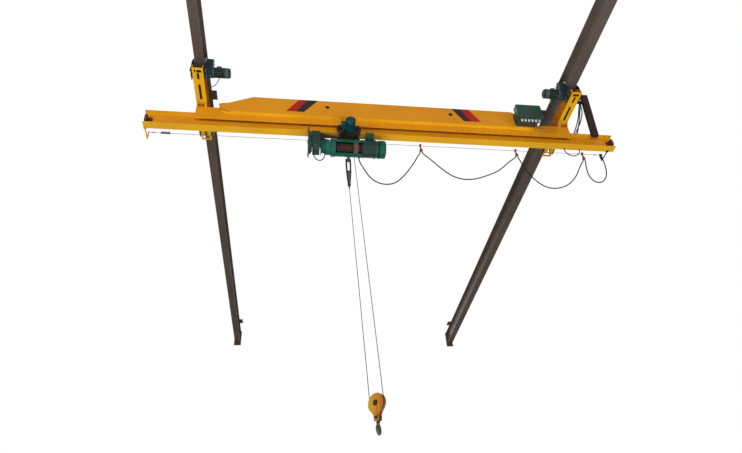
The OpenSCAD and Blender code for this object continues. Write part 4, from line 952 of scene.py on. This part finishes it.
def make_motor_covers():
    """Fan covers on the ends of the drive, hoist and trolley motors, each with its screws."""
    shapes = []
    for sign in ENDS:
        axis = (sign, 0, 0)
        shapes.append(fan_cover((mirrored_x(DRIVE_HIGH[0], sign), Y_DRIVE, Z_DRIVE), axis, DRIVE_RADIUS * 0.86))
        ring = (mirrored_x(DRIVE_LOW[0] + 0.012, sign), Y_DRIVE, Z_DRIVE)
        shapes += bolt_ring(ring, axis, DRIVE_RADIUS * 0.93, 8, 0.009)
    fitting("drive_fan_covers", shapes, "drive_green", "bridge")
    shapes = [fan_cover((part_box("hoist_motor")[1][0], Y_GIRDER, Z_DRUM), RIGHT, 0.112)]
    shapes += bolt_ring((SHELL_HIGH[0], Y_GIRDER, Z_DRUM), RIGHT, 0.128, 12, 0.010)
    fitting("hoist_fan_cover", shapes, "hoist_green", "hoist_trolley")
    low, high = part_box("trolley_motor")
    x, z = middle_of("trolley_motor", 0), low[2] + 0.078
    shapes = [fan_cover((x, low[1], z), NEAR, 0.064)] + bolt_ring((x, high[1] - 0.040, z), NEAR, 0.0765, 8, 0.008)
    fitting("trolley_fan_cover", shapes, "travel_motor_teal", "hoist_trolley")


def make_hoist_bolts():
    """Bolts of the hoist's cover rings, control box, terminal box, wheel axles and frame."""
    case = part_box("hoist_control_box")[0]
    low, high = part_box("hoist_terminal_box")
    bolts = bolt_ring((SHELL_LOW[0] - 0.048, Y_GIRDER, Z_DRUM), LEFT, 0.123, 12, 0.012)
    bolts += bolt_ring((SHELL_LOW[0] - 0.125, Y_GIRDER, Z_DRUM), LEFT, 0.086, 8, 0.011, 0.3)
    bolts += bolt_rows([case[0]], (Y_GIRDER - 0.13, Y_GIRDER + 0.09), (case[2] + 0.03, Z_DRUM + 0.20),
                       LEFT, 0.018, 0.008)
    bolts += bolt_rows((low[0] + 0.018, high[0] - 0.018), [low[1]], (high[2] - 0.02, high[2] - 0.085),
                       NEAR, 0.010, 0.005)
    for side in (-1, 1):
        axis = (0, side, 0)
        bolts += bolt_rows(X_TROLLEY_AXLES, [Y_GIRDER + side * 0.098], [Z_TROLLEY_AXLE], axis, 0.026, 0.010)
        bolts += bolt_rows((X_TROLLEY - 0.095, X_TROLLEY + 0.095), [Y_GIRDER + side * 0.102],
                           [Z_GIRDER - 0.070], axis, 0.034, 0.012)
    fitting("hoist_bolts", bolts, "greasy_black_steel", "hoist_trolley", smooth=False)


def make_hoist_lids():
    """Ribbed lid, foot and trim of the hoist's control box, and the lid of its terminal box."""
    low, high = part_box("hoist_terminal_box")
    (x0, z0), (x1, z1) = CASE_LOW, CASE_HIGH
    y = Y_GIRDER
    lids = [rounded_bar((x0 - 0.004, y - 0.139, z0 + 0.006), (x1 + 0.004, y - 0.130, z1 - 0.006), 0.003),
            rounded_bar((low[0] + 0.006, low[1] - 0.008, high[2] - 0.098),
                        (high[0] - 0.006, low[1], high[2] - 0.008), 0.003),
            rounded_bar((x0 + 0.012, y - 0.120, z0 - 0.016), (x1 - 0.012, y - 0.020, z0), 0.004)]
    for k in range(6):
        x = x0 + 0.004 + k * 0.017
        lids.append(rounded_bar((x, y - 0.147, z0 + 0.016), (x + 0.006, y - 0.139, z1 - 0.016), 0.002))
    fitting("hoist_box_lids", lids, "rack_dark_green", "hoist_trolley", smooth=False)
    trim = [rounded_bar((x0 - 0.006, y - 0.142, z1 - 0.008), (x1 + 0.006, y + 0.102, z1 + 0.004), 0.003)]
    fitting("hoist_box_trim", trim, "rope_guide_brown", "hoist_trolley", smooth=False)


def make_hoist_leads():
    """Leads from the hoist's control box to its gearbox, the cables' glands and the gearbox's oil plug."""
    x_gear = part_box("hoist_gearbox")[0][0]
    leads = []
    for k, (y, drop) in enumerate(((-0.10, 0.020), (-0.06, 0.034), (-0.02, 0.026), (0.02, 0.040))):
        start = (CASE_HIGH[0], Y_GIRDER + y - 0.01, CASE_LOW[1] + 0.05 + 0.03 * k)
        end = (x_gear + 0.018, Y_GIRDER + y * 0.6, Z_DRUM + 0.012 * k - 0.05)
        middle = ((start[0] + end[0]) / 2, (start[1] + end[1]) / 2 - 0.006, min(start[2], end[2]) - drop)
        leads.append(tube(smooth_route([start, middle, end], 0.006), 0.004, 10))
    fitting("hoist_box_leads", leads, "rubber_and_shadow_black", "hoist_trolley")
    profile = [(0.011, 0), (0.011, 0.006), (0.009, 0.006), (0.009, 0.020), (0.0075, 0.024)]
    glands = []
    for cable, z in (("hoist_cable", CASE_LOW[1]), ("festoon_cable_1", Z_DRUM - 0.004)):
        x, y, _ = ROUTES[cable][0]
        glands.append(lathe(profile, (x, y, z), DOWN, 12))
    fitting("hoist_glands", glands, "rubber_and_shadow_black", "hoist_trolley")
    plug = lathe([(0.012, 0), (0.012, 0.006), (0.008, 0.009), (0.008, 0.012)],
                 (X_TROLLEY - 0.28, Y_GIRDER - 0.112, Z_DRUM), NEAR, 6)
    fitting("gearbox_oil_plug", [plug], "brass_plug", "hoist_trolley", smooth=False)


def make_hoist_rack():
    """Rows of contactors between the hoist's end plate and its control box, each of its own depth."""
    x_plate, x_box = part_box("hoist_control_box")[0][0] + 0.017, X_TROLLEY - 0.525
    rows, columns = 6, 4
    depth = np.random.default_rng(7).uniform(0.45, 0.95, (rows, columns))
    screw = [(0.006, 0), (0.006, 0.004), (0.003, 0.006)]
    dark, bright = [], []
    for row in range(rows):
        z = Z_DRUM - 0.056 + 0.038 * row
        for column in range(columns):
            y = Y_GIRDER - 0.134 + 0.060 * column
            reach = x_plate + depth[row, column] * (x_box - x_plate)
            block = rounded_bar((x_plate - 0.001, y, z), (reach, y + 0.050, z + 0.030), 0.003)
            (bright if (row + column) % 3 == 0 else dark).append(block)
            dark.append(lathe(screw, (reach, y + 0.025, z + 0.015), RIGHT, 8))
    fitting("hoist_contactors", dark, "rubber_and_shadow_black", "hoist_trolley", smooth=False)
    fitting("hoist_relays", bright, "hoist_teal", "hoist_trolley", smooth=False)


def make_coupling_guard():
    """Ribbed cover over the hoist's coupling: a shell whose radius steps r + 4 mm at each of five ribs."""
    x0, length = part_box("hoist_gearbox")[0][0] + 0.009, 0.062
    rows = [(0.040, 0.0), (0.084, 0.0), (0.090, 0.004)]
    for k in range(5):
        h = 0.008 + k * 0.011
        rows += [(0.088, h), (0.092, h + 0.001), (0.092, h + 0.005), (0.088, h + 0.006)]
    rows += [(0.090, length - 0.002), (0.090, length)]
    shapes = [lathe(rows, (x0, Y_GIRDER, Z_DRUM), RIGHT, 40),
              rounded_bar((x0 + 0.004, Y_GIRDER - 0.052, Z_DRUM + 0.084),
                          (x0 + length - 0.004, Y_GIRDER + 0.052, Z_DRUM + 0.104), 0.004)]
    fitting("coupling_guard", shapes, "hoist_teal", "hoist_trolley")


def make_trolley_motor_box():
    """Terminal box beside the trolley's motor, with a lid, screws and its lead."""
    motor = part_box("trolley_motor")[0]
    x, y, z = motor[0] + 0.012, motor[1] + 0.075, motor[2] + 0.020
    shapes = [rounded_bar((x - 0.062, y, z), (x + 0.020, y + 0.070, z + 0.098), 0.006),
              rounded_bar((x - 0.066, y - 0.008, z - 0.004), (x + 0.004, y, z + 0.102), 0.003)]
    for dx in (-0.058, -0.004):
        for dz in (0.004, 0.094):
            screw = [(0.005, 0), (0.005, 0.003), (0.003, 0.004)]
            shapes.append(lathe(screw, (x + dx, y - 0.008, z + dz), NEAR, 10))
    fitting("trolley_motor_box", shapes, "travel_motor_teal", "hoist_trolley", smooth=False)
    steps = [(-0.030, 0.035, 0.0), (-0.031, 0.036, -0.030), (-0.050, 0.040, -0.060), (-0.095, 0.050, -0.080),
             (-0.130, 0.060, -0.100), (-0.150, 0.068, -0.140)]
    route = smooth_route([(x + dx, y + dy, z + dz) for dx, dy, dz in steps], 0.006)
    fitting("trolley_motor_lead", [tube(route, 0.005, 10)], "rubber_and_shadow_black", "hoist_trolley")


def make_socket_slings():
    """Two doubled rope slings from the hoist's lug that close on the wedge socket: x = side (a (1 - t)^0.7 + b)."""
    x, y = X_SOCKET, Y_SOCKET
    z_top, z_low = Z_DRUM - 0.085, Z_SOCKET + 0.050
    spread, closing = 0.024, 0.7
    t = np.linspace(0, 1, 140)
    shapes = []
    for side in (-1, 1):
        reach = spread * (1 - t) ** closing + 0.010 + 0.005 * np.sin(np.pi * t)
        for dy in (-0.010, 0.010):
            path = np.stack([x + side * reach, y + dy * (1 - 0.4 * t), z_top + (z_low - z_top) * t], 1)
            shapes.append(tube(path, 0.0065, 12, twist=(STRANDS, 0.060)))
    for share in (0.46, 0.98):
        z = z_top + (z_low - z_top) * share
        half = spread * (1 - share) ** closing + 0.020
        shapes.append(rounded_bar((x - half, y - 0.018, z - 0.016), (x + half, y + 0.018, z + 0.010), 0.004))
    fitting("socket_slings", shapes, "sling_rope", "hoist_trolley")


def make_box_end_shadow_lines():
    """Dark line of painted shadow round the lower corner of each end of the girder's box: a quarter circle."""
    radius, count = 0.146, 30
    a = np.linspace(np.pi, 1.5 * np.pi, count)
    y = np.full(count, BOX_LOW[1] + 0.001)
    z = BOX_LOW[2] + radius + radius * np.sin(a)
    shapes = [tube(np.stack([x_end + sign * (radius + radius * np.cos(a)), y, z], 1), 0.0045, 8)
              for x_end, sign in ((BOX_LOW[0], 1), (BOX_HIGH[0], -1))]
    fitting("box_end_shadow_lines", shapes, "seam_and_shadow_brown", "bridge")


def make_control_box_details():
    """Lid rim, four quarter-turn locks, a black strip and gusset below, and the glands' domes; the black strip and
    the black plate under the box are painted shadow.
    """
    (x0, y0, z0), (x1, y1, z1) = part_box("control_box")
    lock = [(0.009, 0), (0.009, 0.003), (0.007, 0.005), (0.003, 0.005), (0.003, 0.0035)]
    locks = [lathe(lock, (x, y0, z), NEAR, 16) for x in (x0 + 0.020, x1 - 0.020) for z in (z0 + 0.022, z1 - 0.022)]
    fitting("control_box_locks", locks, "bolt_steel", "bridge")
    y1 = y1 - 0.001
    # The first two bars, a strip and a plate under the box, are painted shadow; the third is the lid's gasket rim
    dark = [rounded_bar((x0 + 0.012, y0 + 0.012, z0 - 0.006), (x1 - 0.012, y0 + 0.030, z0 + 0.002), 0.002),
            rounded_bar((x0 + 0.012, y0 + 0.070, z0 - 0.004), (x0 + 0.320, y1, z0 + 0.0075), 0.002),
            rounded_bar((x0 + 0.004, y0 + 0.0075, z0 + 0.003), (x1 - 0.004, y0 + 0.0105, z1 - 0.003), 0.001)]
    y_gusset = y0 + 0.105
    gusset = [(y_gusset, z0 + 0.20), (y1, z0 + 0.20), (y1, z0 + 0.01), (y_gusset, z0 + 0.05)]
    points = [(x0 + 0.002 + dx, y, z) for dx in (0.0, 0.008) for y, z in gusset]
    dark.append((np.array(points), capped_faces(2, 4)))
    fitting("control_box_gasket_and_shadow", dark, "rubber_and_shadow_black", "bridge", smooth=False)
    low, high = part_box("cable_glands")
    first, last = low[0] + 0.0156, high[0] - 0.0156
    dome = [(0.0155, 0), (0.0155, 0.004), (0.0135, 0.006), (0.0135, 0.016), (0.0115, 0.0215)]
    spots = [(first + (last - first) * k / 5, middle_of("cable_glands", 1), high[2] - 0.008) for k in range(6)]
    fitting("gland_domes", [lathe(dome, spot, DOWN, 12) for spot in spots], "gland_grey", "bridge", smooth=False)


def make_carrier_details():
    """Dark rollers on top of each carrier's ears, and a tie round its cables."""
    roller = [(0.004, 0), (0.011, 0), (0.011, 0.002), (0.007, 0.0045), (0.011, 0.007), (0.011, 0.009), (0.004, 0.009)]
    knob = [(0.009, 0), (0.012, 0.003), (0.012, 0.009), (0.006, 0.014)]
    collar = [(0.0100, 0), (0.0105, 0.001), (0.0105, 0.005), (0.0100, 0.006)]
    for side in ("left", "middle", "right"):
        low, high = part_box("cable_carrier_" + side)
        x = (low[0] + high[0]) / 2
        wheels = [lathe(roller, (x + dx, Y_WIRE - 0.0215 + dy, high[2] - 0.006), FAR, 20)
                  for dx in (-0.006, 0.006) for dy in (0, 0.0295)]
        wheels.append(lathe(knob, (x, Y_WIRE, high[2]), UP, 16))
        fitting("carrier_%s_rollers" % side, wheels, "rubber_and_shadow_black", "carrier_" + side)
        ties = [lathe(collar, (x + dx, Y_WIRE, low[2] - 0.006), UP, 20) for dx in (-0.013, 0.013)]
        ties.append(rounded_bar((x - 0.026, Y_WIRE - 0.0175, low[2] + 0.006),
                                (x + 0.026, Y_WIRE - 0.014, low[2] + 0.016), 0.001))
        fitting("carrier_%s_ties" % side, ties, "rubber_and_shadow_black", "carrier_" + side)


def make_wire_fittings():
    """Turnbuckle with an eye on each end at the wire's left, and clips by both brackets."""
    x_left, x_right = (corner[0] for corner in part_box("cable_wire"))
    x0 = x_left + 0.167
    shapes = []
    for y in (-0.0115, 0.0115):
        rod = [(x0 + t * 0.12, Y_WIRE + y * math.sin(math.pi * (0.08 + 0.84 * t)) ** 0.3, Z_WIRE + 0.013)
               for t in np.linspace(0, 1, 20)]
        shapes.append(tube(rod, 0.0035, 8))
    nut = [(0.0125, 0), (0.0145, 0.003), (0.0145, 0.011), (0.0125, 0.014)]
    shapes += [lathe(nut, (x, Y_WIRE, Z_WIRE), RIGHT, 6) for x in (x0 - 0.006, x0 + 0.112)]
    for x in (x_left + 0.05, x_left + 0.075, x_right - 0.09, x_right - 0.065):
        shapes.append(rounded_bar((x - 0.004, Y_WIRE - 0.009, Z_WIRE - 0.007),
                                  (x + 0.004, Y_WIRE + 0.009, Z_WIRE + 0.003), 0.001))
        shapes += bolt_rows([x], (Y_WIRE - 0.006, Y_WIRE + 0.006), [Z_WIRE + 0.003], UP, 0.007, 0.004)
    fitting("wire_turnbuckle", shapes, "bolt_steel", "bridge")


def in_block(points, turn):
    """Points given across the hook block (x along its width, y across, z up) turned and set at the sheave."""
    points = np.asarray(points, float)
    c, s = math.cos(turn), math.sin(turn)
    x, y, z = points[..., 0], points[..., 1], points[..., 2]
    return np.stack([SHEAVE[0] + c * x - s * y, SHEAVE[1] + s * x + c * y, SHEAVE[2] + z], -1)


def make_block_details():
    """Axle plates and bolts on the hook block, and the hook's spring latch and nut."""
    face, latch_radius = 0.025, 0.0028
    shapes = []
    for side in (-1, 1):
        axis = in_block((0, side, 0), BLOCK_TURN) - np.array(SHEAVE)
        for x in (-0.020, 0.020):
            shapes.append(bolt_shape(in_block((x, side * face, -0.150), BLOCK_TURN), axis, 0.010, 0.005))
        hub = in_block((0, side * (face + 0.008), 0), BLOCK_TURN)
        shapes.append(lathe([(0.026, 0), (0.026, 0.004), (0.021, 0.007), (0.010, 0.007)], hub, axis, 28))
    fitting("block_bolts", shapes, "greasy_black_steel", "hook_block", smooth=False)
    nut = in_block((0, 0, -0.200), HOOK_TURN)
    shapes = [lathe([(0.019, 0), (0.021, 0.003), (0.021, 0.015), (0.019, 0.018)], nut, DOWN, 8)]
    t = np.linspace(0, 1, 14)
    for y in (-0.010, 0.010):
        leaf = np.stack([0.004 + 0.034 * t, np.full(14, y), -0.237 - 0.044 * t + 0.010 * np.sin(np.pi * t)], 1)
        shapes.append(tube(in_block(leaf, HOOK_TURN), latch_radius, 8))
    bar = np.stack([np.full(8, 0.038), np.linspace(-0.012, 0.012, 8), np.full(8, -0.281)], 1)
    shapes.append(tube(in_block(bar, HOOK_TURN), latch_radius, 8))
    fitting("hook_latch", shapes, "greasy_black_steel", "hook")


def make_saddle_outline():
    """Raised outline with rounded corners on the right saddle's face."""
    corner = 0.014
    x0, x1 = SPAN - 0.430 + corner, SPAN - 0.160 - corner
    z0, z1 = Z_BEAM - 0.003 + corner, Z_BEAM + 0.057 - corner
    loop = []
    for k, (x, z) in enumerate(((x1, z1), (x0, z1), (x0, z0), (x1, z0))):
        for a in np.linspace(0, np.pi / 2, 6) + k * math.pi / 2:
            loop.append((x + corner * math.cos(a), Y_SADDLE - 0.001, z + corner * math.sin(a)))
    fitting("saddle_outline", [tube(loop + loop[:1], 0.003, 8)], "seam_and_shadow_brown", "bridge")


def make_drive_details():
    """Rim bolts, ribs and a drain plug on the bridge drives' gear cases, and a lead from each motor's box."""
    x_foot, x_case = (corner[0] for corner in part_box("drive_gearcase_left"))
    z_box, rib_radius = DRIVE_HIGH[2], 0.077
    bolts, ribs, leads = [], [], []
    for sign in ENDS:
        for dy, dz in ((-0.046, 0.022), (0.0, 0.050), (0.042, 0.026)):
            spot = (mirrored_x(x_case, sign), Y_AXLE_NEAR + dy, Z_AXLE + dz)
            bolts.append(bolt_shape(spot, (sign, 0, 0), 0.013, 0.006))
        for degrees in (200, 250, 300):
            a = math.radians(degrees)
            y, z = Y_DRIVE + rib_radius * math.cos(a), Z_DRIVE + rib_radius * math.sin(a)
            start = (mirrored_x(x_foot + 0.035, sign), y, z)
            ribs.append(weld_shape(start, ALONG_X, mirrored_x(x_case - 0.004, sign), 0.003))
        bolts.append(bolt_shape((mirrored_x(x_case - 0.032, sign), Y_DRIVE, Z_DRIVE - 0.078), DOWN, 0.018, 0.009))
        x_box = mirrored_x(DRIVE_LOW[0] + 0.075, sign)
        route = [(x_box, Y_DRIVE + 0.034, z_box - 0.02), (x_box, Y_DRIVE + 0.11, z_box - 0.045),
                 (x_box - sign * 0.06, Y_DRIVE + 0.20, -0.40), (mirrored_x(0.078, sign), Y_AXLE_NEAR + 0.30, -0.455)]
        leads.append(tube(smooth_route(route, 0.008), 0.0055, 10))
    fitting("drive_bolts", bolts, "bolt_steel", "bridge", smooth=False)
    fitting("drive_case_ribs", ribs, "bracket_blue_grey", "bridge")
    fitting("drive_leads", leads, "rubber_and_shadow_black", "bridge")


def make_carriage_lips():
    """Rounded lips on the near and far ends of both end carriages' bottom plates."""
    shapes, count = [], 24
    for side in ("left", "right"):
        low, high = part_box("end_carriage_" + side)
        x, z = np.linspace(low[0] + 0.003, high[0] - 0.003, count), np.full(count, low[2] + 0.005)
        shapes += [tube(np.stack([x, np.full(count, y), z], 1), 0.0052, 12) for y in (low[1], high[1])]
    fitting("carriage_end_lips", shapes, "carriage_yellow", "bridge")


def make_rope_guide_details():
    """Two clamp screws and a spring on the rope guide, seen through the shell's window."""
    x = middle_of("rope_guide", 0)
    shapes = []
    ring_radius = 0.1187
    for degrees in (-150, -125):
        a = math.radians(degrees)
        spot = (x, Y_GIRDER + ring_radius * math.cos(a), Z_DRUM + ring_radius * math.sin(a))
        shapes.append(bolt_shape(spot, (0, math.cos(a), math.sin(a)), 0.010, 0.004))
    t = np.linspace(-2.75, -2.05, 260)
    turns, coil = 120, 0.004
    reach = 0.1175 + coil * np.sin(turns * t)
    spring = np.stack([x - 0.022 + coil * np.cos(turns * t), Y_GIRDER + reach * np.cos(t),
                       Z_DRUM + reach * np.sin(t)], 1)
    shapes.append(tube(spring, 0.0011, 6))
    fitting("rope_guide_screws", shapes, "bolt_steel", "hoist_trolley")


for make in (make_bridge_bolts, make_runway_bolts, make_girder_welds, make_stop_welds, make_motor_covers,
             make_hoist_bolts, make_hoist_lids, make_hoist_leads, make_hoist_rack, make_coupling_guard,
             make_trolley_motor_box, make_socket_slings, make_box_end_shadow_lines, make_control_box_details,
             make_carrier_details, make_wire_fittings, make_block_details, make_saddle_outline,
             make_drive_details, make_carriage_lips, make_rope_guide_details):
    make()


# Stage: pale floor far below, white surroundings and soft lights

WORLD_LIGHT, FLOOR_GLOW = 0.26, 0.50
FLOOR_RADIUS, FLOOR_SIDES, FLOOR_HEIGHT, X_FLOOR = 60, 96, -9.2, 2.7

# Lamps: name, place, size in metres, power in watts, the place that it faces
LAMPS = [("lamp_below", (2.7, -1.5, -8.9), 7.0, 520, (2.7, 0.0, -1.0)),
         ("lamp_window", (-7.0, -6.0, -3.0), 5.0, 470, (2.7, -0.2, -1.4)),
         ("lamp_front", (2.0, -10.0, -4.0), 6.0, 470, (2.7, -0.2, -1.0)),
         ("lamp_right", (9.5, -6.5, -4.0), 4.0, 120, (3.5, -0.2, -1.0)),
         ("lamp_behind", (4.0, 10.5, 1.5), 7.0, 420, (2.7, 0.0, -0.8)),
         ("lamp_above", (2.5, 4.5, 9.0), 8.0, 340, (2.7, 0.0, -0.3))]


def seen_directly(tree):
    """1 for camera, mirror and glass rays, 0 for the rest."""
    path = add_node(tree, "ShaderNodeLightPath")
    seen = math_node(tree, "MAXIMUM", path.outputs["Is Camera Ray"], path.outputs["Is Glossy Ray"])
    return math_node(tree, "MAXIMUM", seen, path.outputs["Is Transmission Ray"])


def make_floor():
    """Round floor under the camera, which glows where it is seen and is clear from below."""
    a = np.arange(FLOOR_SIDES) * 2 * np.pi / FLOOR_SIDES
    rim = [X_FLOOR + FLOOR_RADIUS * np.cos(a), FLOOR_RADIUS * np.sin(a), np.full(FLOOR_SIDES, FLOOR_HEIGHT)]
    floor = add_mesh("studio_floor", np.stack(rim, 1), [list(range(FLOOR_SIDES))], smooth=False)
    tree, shader = new_material("studio_floor_white")
    speck = ramp(tree, place_noise(tree, 3, detail=3), 0.2, 0.8)
    join(tree, mix_colour(tree, speck, (0.62, 0.62, 0.61), (0.66, 0.66, 0.65)), shader.inputs["Base Color"])
    shader.inputs["Roughness"].default_value = 0.9
    shader.inputs["Emission Color"].default_value = (0.98, 0.98, 0.97, 1)
    join(tree, multiply(tree, seen_directly(tree), FLOOR_GLOW), shader.inputs["Emission Strength"])
    clear = add_node(tree, "ShaderNodeBsdfTransparent")
    either = add_node(tree, "ShaderNodeMixShader")
    side = add_node(tree, "ShaderNodeNewGeometry")
    join(tree, side.outputs["Backfacing"], either.inputs["Fac"])
    join(tree, shader.outputs["BSDF"], either.inputs[1])
    join(tree, clear.outputs["BSDF"], either.inputs[2])
    join(tree, either.outputs["Shader"], tree.nodes["Material Output"].inputs["Surface"])
    finish_piece(floor, "studio_floor_white")


def make_surroundings():
    """World that is white for camera, mirror and glass rays and dim for the rest."""
    world = bpy.data.worlds.new("studio_world")
    bpy.context.scene.world = world
    world.use_nodes = True
    tree = world.node_tree
    background = tree.nodes["Background"]
    background.inputs["Color"].default_value = (1, 1, 1, 1)
    strength = add(tree, multiply(tree, seen_directly(tree), 1.0 - WORLD_LIGHT), WORLD_LIGHT)
    join(tree, strength, background.inputs["Strength"])


def make_lamps():
    """Round area lamps, each turned to face its own place."""
    for name, place, size, power, aim in LAMPS:
        data = bpy.data.lights.new(name, "AREA")
        data.shape = "DISK"
        data.size = size
        data.energy = power
        lamp = bpy.data.objects.new(name, data)
        lamp.location = place
        x, y, z = np.array(aim) - np.array(place)
        lamp.rotation_euler = (math.atan2(math.hypot(x, y), -z), 0, math.atan2(x, -y) + math.pi)
        bpy.context.scene.collection.objects.link(lamp)


make_floor()
make_surroundings()
make_lamps()

bpy.context.scene.view_settings.view_transform = "Standard"
